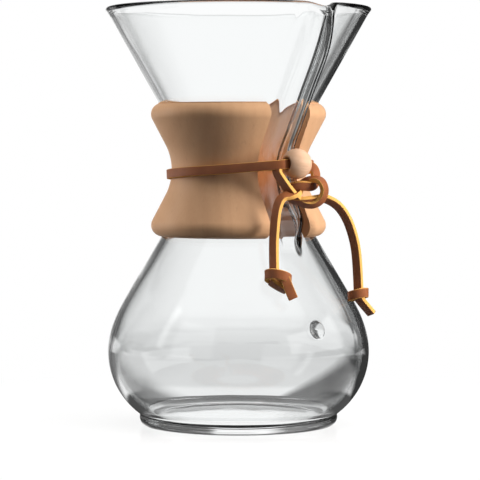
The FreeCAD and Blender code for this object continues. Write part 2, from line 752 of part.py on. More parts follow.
def band_line(size):
    """The thong's middle line seen from above: round the collar, tangent to it up to a bend on
    each side of the bead, and straight through the bead."""
    reach = size.waistCrest + size.beadFit + size.beadRadius
    round_radius = size.collarWaist + size.strapFit + size.strapDepth / 2
    corner = Vector(size.bandCorner, -reach, 0)
    away = math.acos(round_radius / corner.Length) + math.atan2(size.bandCorner, reach)
    leave = Vector(round_radius * math.sin(away), -round_radius * math.cos(away), 0)
    run = (leave - corner).normalize()
    turn = math.pi - Vector(-1, 0, 0).getAngle(run)
    setback = size.bandBend * math.tan(turn / 2)
    bend_in = corner + Vector(-setback, 0, 0)
    bend_out = corner + run * setback
    inward = ((bend_in + bend_out) / 2 - corner).normalize()
    middle = corner + inward * (size.bandBend / math.cos(turn / 2) - size.bandBend)

    def mirrored(spot):
        return Vector(-spot.x, spot.y, spot.z)

    back = Vector(0, round_radius, 0)
    return Part.Wire(
        [
            Part.LineSegment(mirrored(bend_in), bend_in).toShape(),
            Part.Arc(bend_in, middle, bend_out).toShape(),
            Part.LineSegment(bend_out, leave).toShape(),
            Part.Arc(leave, back, mirrored(leave)).toShape(),
            Part.LineSegment(mirrored(leave), mirrored(bend_out)).toShape(),
            Part.Arc(mirrored(bend_out), mirrored(middle), mirrored(bend_in)).toShape(),
        ]
    )


def make_tie_band(doc, size):
    middle = band_line(size)
    outer = Part.Face(middle.makeOffset2D(size.strapDepth / 2))
    inner = Part.Face(middle.makeOffset2D(-size.strapDepth / 2))
    band = outer.cut(inner).Faces[0].extrude(Vector(0, 0, size.strapWidth))
    band.translate(Vector(0, 0, size.beadHeight - size.strapWidth / 2))
    band.rotate(bead_middle(size), Vector(1, 0, 0), -size.bandTilt)
    return add_solid(doc, "tie_band", band)


# Knot and tails are given as they hang, from the bead's centre: to the right, up and forwards,
# seen from this many degrees to the left of the spout.

HANG_TURN = 37.2

LEFT_STRAND = [
    (-8.6, -1.4, 6.2),
    (-3.9, -8.9, 4.1),
    (0.5, -14.4, 2.3),
    (4.9, -18.6, -0.5),
    (10.5, -19.0, -1.1),
    (13.5, -13.6, 0.7),
    (11.3, -8.0, 0.9),
    (5.5, -8.2, -1.5),
    (-0.1, -9.9, -2.3),
    (-2.5, -13.8, -0.5),
]
RIGHT_STRAND = [
    (8.5, -2.6, -3.9),
    (10.5, -7.6, -3.9),
    (7.1, -11.4, -1.5),
    (1.3, -9.8, 0.9),
    (-3.5, -11.8, 0.1),
    (-3.3, -16.6, 0.3),
    (1.7, -18.4, 2.1),
    (7.9, -16.6, -2.3),
    (13.5, -15.6, -2.7),
]
LEFT_TAIL = [
    (-0.9, -14.2, 1.5),
    (-5.5, -14.8, 5.3),
    (-8.0, -21.0, 8.5),
    (-9.8, -30.7, 9.5),
    (-10.5, -40.7, 11.0),
    (-10.3, -51.4, 13.2),
]
RIGHT_TAIL = [
    (13.5, -15.6, -2.7),
    (18.3, -17.6, -3.5),
    (23.5, -24.6, -5.6),
    (27.3, -35.0, -8.6),
    (29.3, -46.6, -11.6),
    (30.0, -59.6, -13.9),
]
TAIL_FACE_TURN = 40.0
KNOT_STRAND = 3.2


def along_view(right, up, forwards):
    """A direction as it is seen from the thong's side."""
    turn = math.radians(HANG_TURN)
    return Vector(
        right * math.cos(turn) - forwards * math.sin(turn),
        -(right * math.sin(turn) + forwards * math.cos(turn)),
        up,
    )


def hang(size, spot):
    return bead_middle(size) + along_view(*spot)


def bent_wire(points, title):
    """Straight runs joined by tangent arcs as large as the runs allow."""
    edges = []
    radii = []
    cursor = points[0]
    for before, corner, after in zip(points, points[1:], points[2:]):
        back, ahead = before - corner, after - corner
        setback = 0.45 * min(back.Length, ahead.Length)
        half_turn = (math.pi - back.getAngle(ahead)) / 2
        radius = setback / math.tan(half_turn)
        enter = corner + back.normalize() * setback
        leave = corner + ahead.normalize() * setback
        inward = ((enter + leave) / 2 - corner).normalize()
        middle = corner + inward * (radius / math.cos(half_turn) - radius)
        edges.append(Part.LineSegment(cursor, enter).toShape())
        edges.append(Part.Arc(enter, middle, leave).toShape())
        radii.append(round(radius, 1))
        cursor = leave
    edges.append(Part.LineSegment(cursor, points[-1]).toShape())
    wire = Part.Wire(edges)
    print(title, "arc radii", radii, "length", round(wire.Length, 1))
    return wire


def strand(points, size, title):
    """A round strand through the knot."""
    wire = bent_wire([hang(size, spot) for spot in points], title)
    first = wire.Edges[0]
    ring = Part.Circle(first.valueAt(0), first.tangentAt(0), KNOT_STRAND / 2)
    return wire.makePipeShell([Part.Wire(ring.toShape())], True, False)


def tail(points, size, title):
    """A flat strap from its free end up to the knot."""
    wire = bent_wire([hang(size, spot) for spot in reversed(points)], title)
    start = wire.Edges[0].valueAt(0)
    along = wire.Edges[0].tangentAt(0)
    turn = math.radians(TAIL_FACE_TURN)
    across = along_view(math.cos(turn), 0, math.sin(turn))
    across = (across - along * across.dot(along)).normalize() * (size.strapWidth / 2)
    deep = along.cross(across).normalize() * (size.strapDepth / 2)
    corners = [start + across + deep, start - across + deep]
    corners += [start - across - deep, start + across - deep]
    outline = Part.makePolygon(corners + corners[:1])
    solid = wire.makePipeShell([outline], True, False)
    expected = size.strapWidth * size.strapDepth * wire.Length
    print(title, "volume against section times length", round(solid.Volume / expected, 3))
    return solid


def end_knot(size, centre, tip, ring_radius):
    """A tight overhand knot: one round turn about the strap, and the cut end that sticks out."""
    middle, point = hang(size, centre), hang(size, tip)
    turn = Part.makeTorus(ring_radius, size.strapWidth / 2, middle, Vector(0, 0, 1))
    core = Part.makeSphere(ring_radius, middle)
    along = (point - middle).normalize()
    stub = Part.makeBox(size.strapWidth, size.strapDepth, (point - middle).Length)
    stub.translate(Vector(-size.strapWidth / 2, -size.strapDepth / 2, 0))
    stub.Placement = FreeCAD.Placement(
        middle, FreeCAD.Rotation(Vector(0, 0, 1), along)
    ).multiply(stub.Placement)
    return turn.fuse([core, stub])


def make_ties(doc, size):
    left = strand(LEFT_STRAND, size, "left strand")
    right = strand(RIGHT_STRAND, size, "right strand")
    add_solid(doc, "tie_knot", left.fuse(right))
    add_solid(doc, "tie_tail_left", tail(LEFT_TAIL, size, "left tail"))
    add_solid(doc, "tie_tail_right", tail(RIGHT_TAIL, size, "right tail"))
    left = end_knot(size, (-8.4, -53.8, 15.8), (-2.1, -63.6, 17.2), 4.4)
    right = end_knot(size, (29.5, -62.2, -14.5), (35.3, -70.8, -16.1), 3.4)
    add_solid(doc, "tie_end_knot_left", left)
    add_solid(doc, "tie_end_knot_right", right)


NODES = [
    "glass_vessel",
    "collar_half_left",
    "collar_half_right",
    "bead",
    "tie_band",
    "tie_knot",
    "tie_tail_left",
    "tie_tail_right",
    "tie_end_knot_left",
    "tie_end_knot_right",
]


def check(doc):
    for item in doc.Objects:
        if "Invalid" in item.State or "Error" in item.State:
            raise RuntimeError(f"{item.Name} is {item.State}")
    for label in NODES:
        shape = doc.getObjectsByLabel(label)[0].Shape
        if shape.isNull() or not shape.isValid() or len(shape.Solids) != 1:
            raise RuntimeError(f"{label} isn't one valid solid")


def main():
    doc = FreeCAD.newDocument("PourOver")
    size = make_sheet(doc)
    make_vessel(doc, size)
    make_collar_half(doc, size, "collar_half_left", -1)
    make_collar_half(doc, size, "collar_half_right", 1)
    make_bead(doc, size)
    make_tie_band(doc, size)
    make_ties(doc, size)
    doc.recompute()
    check(doc)
    os.makedirs("parts", exist_ok=True)
    for label in NODES:
        shape = doc.getObjectsByLabel(label)[0].Shape
        shape.exportStep(os.path.join("parts", f"{label}.step"))
        box = shape.BoundBox
        print(
            label,
            "volume", round(shape.Volume),
            "x", round(box.XMin, 2), round(box.XMax, 2),
            "y", round(box.YMin, 2), round(box.YMax, 2),
            "z", round(box.ZMin, 2), round(box.ZMax, 2),
        )


main()
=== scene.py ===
from math import acos, asin, atan2, cos, hypot, pi, radians, sin, tan

import bpy
import numpy as np
from mathutils import Matrix, Vector


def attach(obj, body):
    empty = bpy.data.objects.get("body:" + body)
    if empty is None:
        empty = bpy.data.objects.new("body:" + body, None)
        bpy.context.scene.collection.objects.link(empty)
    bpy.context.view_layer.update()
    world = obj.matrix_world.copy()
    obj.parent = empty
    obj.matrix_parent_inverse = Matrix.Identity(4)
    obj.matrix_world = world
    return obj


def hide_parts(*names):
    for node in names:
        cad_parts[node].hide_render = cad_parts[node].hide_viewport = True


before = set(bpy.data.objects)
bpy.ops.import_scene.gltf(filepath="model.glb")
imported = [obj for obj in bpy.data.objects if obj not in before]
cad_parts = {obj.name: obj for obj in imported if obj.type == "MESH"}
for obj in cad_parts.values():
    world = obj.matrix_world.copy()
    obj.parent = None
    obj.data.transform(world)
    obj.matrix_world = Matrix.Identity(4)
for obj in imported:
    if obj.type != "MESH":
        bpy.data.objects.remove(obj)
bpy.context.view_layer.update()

bl_info = {
    "name": "Pour-over Coffee Maker",
    "version": (1, 0, 0),
    "blender": (4, 5, 0),
    "location": "3D View > Sidebar > Pour-over",
    "description": "Blown glass vessel with a wooden collar, a bead and a leather thong",
    "category": "Add Mesh",
}


# Sizes in metres, and colours, that a user would change.


def size(name, description, default, subtype="DISTANCE"):
    return bpy.props.FloatProperty(
        name=name, description=description, default=default, precision=4, subtype=subtype
    )


def colour(name, description, default):
    return bpy.props.FloatVectorProperty(
        name=name, description=description, default=default, min=0.0, max=1.0, subtype="COLOR"
    )


def share(name, description, default):
    return bpy.props.FloatProperty(
        name=name, description=description, default=default, min=0.0, max=1.0
    )


class GlassSettings(bpy.types.PropertyGroup):
    """The blown vessel."""

    height: size("Height", "Floor to rim", 0.2088)
    neck_radius: size("Neck radius", "Outside at the waist", 0.024)
    neck_height: size("Neck height", "Floor to waist", 0.1266)
    neck_bend: size("Neck bend", "Waist in side view", 0.025)
    shoulder_bend: size("Shoulder bend", "Shoulder in side view", 0.068)
    belly_bend: size("Belly bend", "Belly in side view", 0.0385)
    belly_top: size("Belly top", "Where belly and shoulder meet", 0.0486)
    bulb_radius: size("Bulb radius", "Outside at its widest", 0.0653)
    bulb_height: size("Bulb height", "Floor to its widest", 0.0374)
    foot_radius: size("Foot radius", "Outside of the foot ring", 0.0495)
    heel_bend: size("Heel bend", "Rounding of the foot ring", 0.0045)
    stand_inner: size("Stand ring", "Inside of the foot ring", 0.038)
    punt_rise: size("Punt", "Rise of the base", 0.0035)
    wall: size("Wall", "Thickness of the glass", 0.003)
    floor_depth: size("Floor", "Glass under the bowl", 0.0036)
    floor_bend: size("Floor bend", "From floor to belly, inside", 0.007)
    rim_round: size("Rim rounding", "Height of the melted edge", 0.0016)
    rim_swell: size("Rim swell", "How far the edge stands out", 0.00035)
    dip_start: size("Dip start", "Axis to where the rim dips", 0.0625)
    dip_bend: size("Dip bend", "Rim's dip in side view", 0.00945)
    button_height: size("Button height", "Floor to the button", 0.0516)
    button_radius: size("Button radius", "Radius of the button", 0.0042)
    button_rise: size("Button rise", "How far it stands out", 0.0015)
    cone_angle: size("Funnel angle", "Wall against the axis", radians(29.5), "ANGLE")
    tint: colour("Tint", "Colour of the glass", (0.975, 0.985, 0.985))


class CollarSettings(bpy.types.PropertyGroup):
    """The wooden collar and the bead."""

    height: size("Height", "Height of the collar", 0.0664)
    middle: size("Middle", "Floor to the collar's waist", 0.128)
    waist: size("Waist", "Outside at the waist", 0.0334)
    hollow: size("Hollow", "Waist in side view", 0.027)
    lip: size("Lip", "Outside of the lips", 0.0437)
    lip_bend: size("Lip bend", "Rounding of the lips", 0.0055)
    fit: size("Fit", "Gap between glass and wood", 0.0003)
    gap: size("Gap", "Half the opening in front", 0.012)
    kerf: size("Kerf", "Half the saw cut at the back", 0.0008)
    softening: size("Softening", "Rounding of the sawn edges", 0.0009)
    bead_radius: size("Bead radius", "Radius of the bead", 0.0074)
    bead_bore: size("Bead bore", "Radius of its hole", 0.003)
    pale: colour("Pale wood", "Wood between the growth rings", (0.63, 0.37, 0.205))
    dark: colour("Dark wood", "Wood in the growth rings", (0.50, 0.27, 0.14))
    bead_pale: colour("Pale bead", "Pale wood of the bead", (0.74, 0.50, 0.34))
    bead_dark: colour("Dark bead", "Dark wood of the bead", (0.52, 0.29, 0.17))


class ThongSettings(bpy.types.PropertyGroup):
    """The leather thong."""

    width: size("Width", "Width of the thong", 0.0046)
    depth: size("Thickness", "Thickness of the thong", 0.0023)
    rounding: size("Rounding", "Softened corners", 0.00035)
    grain: colour("Grain side", "Dyed outer face", (0.33, 0.105, 0.036))
    cut: colour("Cut edge", "Raw cut edge", (0.86, 0.45, 0.12))
    flesh: colour("Flesh side", "Rough inner face", (0.42, 0.19, 0.075))


class StageSettings(bpy.types.PropertyGroup):
    """Floor, light and camera."""

    eye_height: size("Eye height", "Height of the camera", 0.1393)
    eye_distance: size("Eye distance", "Camera to the vessel's axis", 1.169)
    ambient: share("Ambient", "Light from the room", 0.26)
    dark: share("Dark", "What glass shows between screens", 0.04)
    front: share("Front", "What glass shows on the camera's side", 0.4)
    floor_tone: share("Floor tone", "How white the table is", 0.85)
    floor_gloss: share("Floor gloss", "Share of the table that mirrors", 0.2)


# Where the bead hangs, and which way the thong is seen from.

BEAD = Vector((0.0, -0.04655, 0.1312))
HANG_TURN = radians(37.2)


def along_view(right, up, forwards):
    """A direction as it is seen from the thong's side."""
    sine, cosine = sin(HANG_TURN), cos(HANG_TURN)
    return Vector((right * cosine - forwards * sine, -right * sine - forwards * cosine, up))


def hang(spot):
    """A place in millimetres to the right of, above and in front of the bead's centre."""
    return BEAD + along_view(*spot) * 0.001


# Each stop of a strap's route is where its middle line passes, as hang takes it, and then which
# way its grain side faces there.

LEFT_TAIL = [
    (1.0, -13.0, -3.0, -0.5, 0.6, 0.3),
    (0.8, -14.8, 0.8, -0.5, 0.7, 0.45),
    (-1.8, -15.2, 4.8, -0.5, 0.6, 0.6),
    (-7.2, -15.6, 6.6, -0.62, 0.35, 0.72),
    (-9.8, -21.2, 8.2, -0.62, 0.06, 0.78),
    (-10.8, -30.7, 9.5, -0.62, 0.0, 0.78),
    (-11.3, -40.7, 10.8, -0.62, 0.0, 0.78),
    (-11.0, -52.2, 13.2, -0.62, 0.05, 0.78),
]
RIGHT_TAIL = [
    (12.8, -16.6, -2.4, -0.2, -0.7, 0.65),
    (18.3, -18.2, -3.5, -0.3, -0.6, 0.72),
    (24.2, -25.2, -5.6, -0.5, -0.28, 0.82),
    (28.1, -35.6, -8.6, -0.54, -0.1, 0.83),
    (30.1, -46.6, -11.6, -0.54, 0.0, 0.84),
    (30.8, -62.6, -14.0, -0.54, 0.0, 0.84),
]
LEFT_STRAND = [
    (-4.8, -0.4, 1.6, -0.45, 0.1, 0.88),
    (-8.2, -0.8, 3.8, -0.5, 0.0, 0.86),
    (-10.2, -3.4, 5.0, -0.51, -0.32, 0.8),
    (-6.6, -8.8, 5.0, -0.51, -0.32, 0.8),
    (-2.4, -14.6, 3.4, -0.48, -0.36, 0.8),
    (2.4, -19.4, 0.2, -0.25, -0.75, 0.6),
    (9.8, -20.0, -0.2, 0.15, -0.85, 0.5),
    (14.2, -14.0, 1.6, 0.85, -0.05, 0.52),
    (11.8, -7.4, 1.4, 0.45, 0.72, 0.52),
    (6.2, -7.6, -3.6, 0.0, 0.85, 0.52),
    (2.2, -10.4, -3.6, -0.3, 0.8, 0.52),
    (0.8, -13.2, -1.2, -0.5, 0.6, 0.3),
]
RIGHT_STRAND = [
    (3.0, -0.4, -3.4, 0.1, 0.1, 0.98),
    (6.6, -0.8, -5.2, 0.45, 0.0, 0.9),
    (9.2, -3.4, -6.0, 0.55, 0.0, 0.83),
    (9.4, -8.2, -4.6, 0.6, 0.0, 0.8),
    (7.8, -11.2, -1.0, 0.15, -0.2, 0.95),
    (2.6, -10.4, 1.2, 0.0, -0.35, 0.94),
    (-2.8, -11.4, 0.4, -0.5, -0.25, 0.8),
    (-4.6, -15.0, -1.0, -0.9, -0.3, 0.3),
    (-2.0, -18.0, 0.2, -0.25, -0.8, 0.5),
    (3.2, -18.2, 1.8, 0.0, -0.75, 0.66),
    (8.6, -17.4, 0.2, 0.0, -0.7, 0.7),
    (12.8, -16.6, -2.4, -0.2, -0.7, 0.65),
]

# The knot at the end of a tail: one turn about the strap, and the stretches that come out of it.
# The turn has its middle, its reach to the side and to the front, how far its right side droops
# and how far its front stands higher than its back, all in millimetres.

LEFT_END = {"middle": (-9.2, -54.5, 15.0), "reach": (5.6, 4.2), "droop": 1.2, "arch": 2.2}
RIGHT_END = {"middle": (30.6, -64.3, -14.1), "reach": (4.2, 4.0), "droop": -1.0, "arch": 0.8}
LEFT_TIPS = [
    [
        (-6.6, -53.0, 16.0, 0.1, 0.2, 0.97),
        (-5.2, -56.5, 18.8, 0.05, 0.12, 0.99),
        (-3.8, -60.0, 18.8, 0.05, 0.1, 0.99),
        (-2.0, -64.2, 18.0, 0.05, 0.1, 0.99),
    ],
    [
        (-12.8, -56.0, 15.0, -0.4, -0.6, 0.7),
        (-9.2, -58.8, 15.8, -0.4, -0.7, 0.6),
        (-5.2, -60.6, 15.2, -0.3, -0.8, 0.5),
    ],
]
RIGHT_TIPS = [
    [
        (30.0, -64.8, -13.0, -0.5, -0.3, 0.8),
        (32.4, -68.2, -13.4, -0.55, -0.35, 0.76),
        (37.4, -73.8, -15.8, -0.55, -0.35, 0.76),
    ],
]


# Node trees.


class Value:
    """A socket of a node tree that Python's own operators work on."""

    def __init__(self, graph, socket):
        self.graph = graph
        self.socket = socket

    def maths(self, operation, *numbers):
        return self.graph.add("ShaderNodeMath", dict(enumerate(numbers)), operation=operation)

    def output(self, name):
        """Another output of the same node."""
        return Value(self.graph, self.socket.node.outputs[name])

    def step(self, low, high):
        """0 below low, 1 above high, smooth between."""
        sockets = {"Value": self, "From Min": low, "From Max": high}
        return self.graph.add("ShaderNodeMapRange", sockets, interpolation_type="SMOOTHSTEP")

    def __add__(self, other):
        return self.maths("ADD", self, other)

    def __sub__(self, other):
        return self.maths("SUBTRACT", self, other)

    def __rsub__(self, other):
        return self.maths("SUBTRACT", other, self)

    def __mul__(self, other):
        return self.maths("MULTIPLY", self, other)

    def __truediv__(self, other):
        return self.maths("DIVIDE", self, other)

    def __abs__(self):
        return self.maths("ABSOLUTE", self)

    __radd__ = __add__
    __rmul__ = __mul__


class Graph:
    """A node tree that is filled by code."""

    def __init__(self, tree):
        self.tree = tree
        tree.nodes.clear()

    def add(self, kind, sockets=(), output=0, **settings):
        """Add a node: its settings first, then the values or links of its sockets."""
        node = self.tree.nodes.new(kind)
        for name, setting in settings.items():
            setattr(node, name, setting)
        for name, value in dict(sockets).items():
            if isinstance(value, Value):
                self.tree.links.new(value.socket, node.inputs[name])
            else:
                node.inputs[name].default_value = value
        return Value(self, node.outputs[output]) if node.outputs else node

    def mix(self, factor, first, second):
        """Mix two colours."""
        sockets = {0: factor, 6: first, 7: second}
        return self.add("ShaderNodeMix", sockets, 2, data_type="RGBA")

    def mix_shader(self, factor, first, second):
        return self.add("ShaderNodeMixShader", {0: factor, 1: first, 2: second})

    def noise(self, vector, scale, detail, roughness=0.5):
        sockets = {"Vector": vector, "Scale": scale, "Detail": detail, "Roughness": roughness}
        return self.add("ShaderNodeTexNoise", sockets)

    def stretched(self, vector, across, along):
        """The vector's pattern drawn out along Y and Z."""
        return self.add("ShaderNodeMapping", {"Vector": vector, "Scale": (1, across, along)})

    def bump(self, height, strength, distance):
        sockets = {"Height": height, "Strength": strength, "Distance": distance}
        return self.add("ShaderNodeBump", sockets)

    def dull_surface(self, tone, roughness, normal):
        """The surface of wood or leather."""
        sockets = {"Base Color": tone, "Roughness": roughness, "IOR": 1.45, "Normal": normal}
        surface = self.add("ShaderNodeBsdfPrincipled", sockets)
        self.add("ShaderNodeOutputMaterial", {"Surface": surface})


def opaque(tone, level=1.0):
    return (*(level * part for part in tone), 1.0)


def grey(level):
    return (level, level, level, 1.0)


def new_material(name):
    """A material, the graph to fill and the object coordinates in it."""
    material = bpy.data.materials.new(name)
    material.use_nodes = True
    graph = Graph(material.node_tree)
    return material, graph, graph.add("ShaderNodeTexCoord", output="Object")


def glass_material(glass):
    material, graph, place = new_material("blown_glass")
    ripple = graph.noise(graph.stretched(place, 1, 0.6), 38.0, 1.0, 0.4)
    sockets = {"Base Color": opaque(glass.tint), "Normal": graph.bump(ripple, 0.12, 0.002)}
    sockets |= {"Roughness": 0.0, "IOR": 1.5, "Transmission Weight": 1.0}
    surface = graph.add("ShaderNodeBsdfPrincipled", sockets)
    shadow = graph.add("ShaderNodeLightPath", output="Is Shadow Ray")
    clear = graph.add("ShaderNodeBsdfTransparent", {"Color": (0.93, 0.94, 0.94, 1.0)})
    both = graph.mix_shader(shadow, surface, clear)
    graph.add("ShaderNodeOutputMaterial", {"Surface": both})
    return material


def wood_material(name, pale, dark, turn, ring_scale):
    """Turned, oiled wood with long fibres, faint growth rings and short dark flecks."""
    material, graph, place = new_material(name)
    along = graph.add("ShaderNodeMapping", {"Vector": place, "Rotation": turn})
    wobble = graph.noise(graph.stretched(along, 1, 0.15), 22.0, 2.0)
    round_neck = graph.stretched(along, 0.35, 0.05)
    sockets = {"Vector": round_neck, "Scale": ring_scale, "Distortion": 5.0, "Detail Scale": 0.6}
    rings = graph.add("ShaderNodeTexWave", sockets)
    fibres = graph.noise(graph.stretched(along, 1, 0.03), 900.0, 4.0, 0.6)
    flecks = graph.noise(graph.stretched(along, 1, 0.09), 420.0, 2.0)
    fleck = flecks.step(0.64, 0.74)
    darker = rings * 0.14 + fibres * 0.44 + wobble * 0.5 - 0.06
    tone = graph.mix(darker, opaque(pale), opaque(dark))
    tone = graph.mix(fleck * 0.15, tone, opaque(dark, 0.6))
    relief = graph.bump(fibres - fleck * 0.5, 0.25, 0.0002)
    graph.dull_surface(tone, 0.40 + fibres * 0.16, relief)
    return material


def leather_material(thong):
    """Dyed grain side, raw cut edges and a rough inner side."""
    material, graph, place = new_material("thong_leather")
    across = graph.add("ShaderNodeAttribute", output="Fac", attribute_name="across")
    through = graph.add("ShaderNodeAttribute", output="Fac", attribute_name="through")
    cut = abs(across).step(0.87, 0.97)
    inside = through.step(-0.2, -0.8)
    pores = graph.noise(place, 1500.0, 3.0, 0.6)
    clouds = graph.noise(place, 160.0, 3.0, 0.55)
    layers = graph.noise(place, 2600.0, 2.0)
    dark_grain = opaque(thong.grain, 0.55)
    grain = graph.mix(clouds * 0.9, opaque(thong.grain), dark_grain)
    grain = graph.mix(pores.step(0.6, 0.8) * 0.35, grain, dark_grain)
    flesh = graph.mix(pores, opaque(thong.flesh), opaque(thong.flesh, 0.6))
    raw = graph.mix(layers, opaque(thong.cut), opaque(thong.cut, 0.62))
    tone = graph.mix(cut, graph.mix(inside, grain, flesh), raw)
    roughness = 0.38 + cut * 0.36 + inside * 0.3 + pores * 0.12
    relief = graph.bump(pores * 0.6 + clouds * 0.4, 0.35, 0.0003)
    graph.dull_surface(tone, roughness, relief)
    return material


# White screens that only show in and through glass: heading, half width and soft edge in degrees,
# and strength. The low ones reach up to the horizon; the last two kinds only lie on the table.

ROOM_SCREENS = ((32, 5, 11, 1.0), (38, 6, 6, 1.0), (14, 5, 8, 0.12))
TABLE_SCREENS = ((32, 10, 16, 1.0), (41, 7, 9, 1.0), (-5, 16, 16, 0.12))
LOW_SCREENS = (
    (-3, 7, 4, 0.9),
    (-45, 10, 6, 0.9),
    (-90, 9, 6, 0.9),
    (180, 14, 6, 0.9),
    (-180, 14, 6, 0.9),
)
STRIP_SCREENS = ((86, 8, 6, 0.55),)
BACK_SCREENS = ((-45, 20, 10, 1.0), (135, 20, 10, 1.0))

# Where the last three lie on the table: the soft edges at which they start and end, as distances
# from the vessel's axis. A low screen has no end there.

STRETCHES = (
    (LOW_SCREENS, (0.45, 0.6), (9.0, 8.9)),
    (STRIP_SCREENS, (0.38, 0.46), (0.95, 0.8)),
    (BACK_SCREENS, (-0.2, -0.1), (1.7, 1.3)),
)


def open_screens(heading, screens):
    """1 towards the screens, 0 between them."""
    white = 0.0
    for middle, half, fade, strength in screens:
        away = abs(heading - radians(middle))
        edge = radians(half)
        white = away.step(edge + radians(fade), edge) * strength + white
    return white.maths("MINIMUM", white, 1.0)


def toward(base, value, share):
    """The base, changed to the value where the share is 1."""
    return base + share * (value - base)


def from_camera(parts):
    """How far a place lies to the right of and in front of the axis, as the camera sees it."""
    sine, cosine = sin(HANG_TURN), cos(HANG_TURN)
    north = parts.output("Y")
    return parts * cosine - north * sine, parts * -sine - north * cosine


def through_glass(path):
    """1 for what shows in or through the glass, 0 for what only lights a surface."""
    bent = path.maths("MAXIMUM", path.output("Is Glossy Ray"), path.output("Is Transmission Ray"))
    return bent * path.maths("LESS_THAN", path.output("Diffuse Depth"), 0.5)


def shown_table(stage, parts, away, under):
    """How bright the glass shows the table: white screens, and dark between them."""
    heading = parts.maths("ARCTAN2", parts, parts.output("Y"))
    near = open_screens(heading, TABLE_SCREENS)
    far = open_screens(heading, ROOM_SCREENS)
    screens = toward(near, far, away.step(1.1, 1.9))
    for kind, (start, full), (end, fading) in STRETCHES:
        stretch = away.step(start, full) * away.step(end, fading)
        screens = screens.maths("MAXIMUM", screens, stretch * open_screens(heading, kind))
    # Near the object the dark is lighter, but not on the right.
    dark = stage.dark + away.step(0.6, 0.35) * heading.step(1.05, 0.75) * 0.11
    # Painted shade: the white is greyer towards the object, and lighter again close round its base.
    white = 0.70 + away.step(0.3, 1.15) * 0.27 + away.step(0.15, 0.12) * 0.17
    shown = toward(dark, white, screens)
    # A dark arc round the foot ring, a painted shadow of the vessel on the table, and white under
    # the base and in front.
    arc = away.step(0.045, 0.054) * away.step(0.082, 0.074)
    shown = toward(shown, 0.08, arc)
    aside, ahead = from_camera(parts)
    in_front = abs(aside).step(0.36, 0.30) * ahead.step(0.01, 0.05)
    return toward(shown, 0.95, under.maths("MAXIMUM", under, in_front))


def floor_material(stage):
    """A white table with a faint gloss that fades into the white room."""
    material, graph, place = new_material("white_table")
    parts = graph.add("ShaderNodeSeparateXYZ", {"Vector": place})
    away = graph.add("ShaderNodeVectorMath", {0: place}, "Value", operation="LENGTH")
    path = graph.add("ShaderNodeLightPath")
    white = graph.add("ShaderNodeEmission", {"Strength": 1.0})
    matt = graph.add("ShaderNodeBsdfDiffuse", {"Color": grey(stage.floor_tone)})
    gloss = graph.add("ShaderNodeBsdfAnisotropic", {"Color": grey(1.0), "Roughness": 0.04})
    table = graph.mix_shader(stage.floor_gloss, matt, gloss)
    fade = toward(0.55, 1.0, away.step(0.08, 0.26))
    table = graph.mix_shader(fade * path.output("Is Camera Ray"), table, white)
    under = away.step(0.052, 0.044)
    shown = shown_table(stage, parts, away, under)
    glow = graph.add("ShaderNodeEmission", {"Strength": shown})
    both = graph.mix_shader(through_glass(path), table, glow)
    # Light from a matt surface finds a dull table, so that little is thrown up.
    dull = graph.add("ShaderNodeBsdfDiffuse", {"Color": grey(0.08)})
    # Under the base the table glows white instead: painted light that lights the wood from below
    # through the glass.
    dull = graph.mix_shader(under, dull, white)
    bounced = path.maths("MINIMUM", path.output("Diffuse Depth"), 1.0)
    both = graph.mix_shader(bounced, both, dull)
    graph.add("ShaderNodeOutputMaterial", {"Surface": both})
    return material


# Meshes.


def new_object(name, data, material=None):
    if material:
        data.materials.append(material)
    item = bpy.data.objects.new(name, data)
    bpy.context.scene.collection.objects.link(item)
    return item


def closed_mesh(name, spots, faces):
    """A mesh whose faces point outwards, shaded smooth."""
    corners = np.array([face[:3] for face in faces])
    first, second, third = (spots[corners[:, n]] for n in range(3))
    if np.einsum("ij,ij->", first, np.cross(second, third)) < 0:
        faces = [face[::-1] for face in faces]
    mesh = bpy.data.meshes.new(name)
    mesh.from_pydata(spots.tolist(), [], faces)
    mesh.shade_smooth()
    mesh.update()
    return mesh


def finish_piece(piece, node, body="vessel"):
    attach(piece, body)
    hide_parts(node)


def grid_faces(rows, columns, wrapped=False):
    """Faces between closed rows of points, and from the last to the first if wrapped."""
    faces = []
    for row in range(rows if wrapped else rows - 1):
        low, high = row * columns, (row + 1) % rows * columns
        for column in range(columns):
            following = (column + 1) % columns
            faces.append((low + column, low + following, high + following, high + column))
    return faces


def arc_points(middle, radius, first, last, steps):
    """Points on an arc in section, from the first angle to the last."""
    turn = np.linspace(first, last, steps)
    return np.column_stack((middle[0] + radius * np.cos(turn), middle[1] + radius * np.sin(turn)))


def side_line(glass, inset, low_angle):
    """Points up the vessel's side, moved inwards by inset, from an angle on the belly.

    Two arcs for the bulb, a straight shoulder, an arc for the neck and the straight funnel wall.
    """
    neck = Vector((glass.neck_radius + glass.neck_bend, glass.neck_height))
    belly = Vector((glass.bulb_radius - glass.belly_bend, glass.bulb_height))
    join = asin((glass.belly_top - glass.bulb_height) / glass.belly_bend)
    to_join = Vector((cos(join), sin(join)))
    shoulder = belly + (glass.belly_bend - glass.shoulder_bend) * to_join
    apart = neck - shoulder
    bends = glass.shoulder_bend + glass.neck_bend
    slope = atan2(apart.y, apart.x) - acos(bends / apart.length)
    cone = glass.cone_angle
    low = arc_points(belly, glass.belly_bend - inset, low_angle, join, 80)
    middle = arc_points(shoulder, glass.shoulder_bend - inset, join, slope, 80)
    rise = arc_points(neck, glass.neck_bend + inset, pi + slope, pi - cone, 120)
    top = glass.height + 0.004
    last = rise[-1]
    wall = np.array([last, [last[0] + (top - last[1]) * tan(cone), top]])
    return np.vstack((low, middle, rise, wall))


# The channel up the front, in millimetres: height, its crest's distance from the axis, half width
# and rounding. Above its toe the creases beside it get rounder.

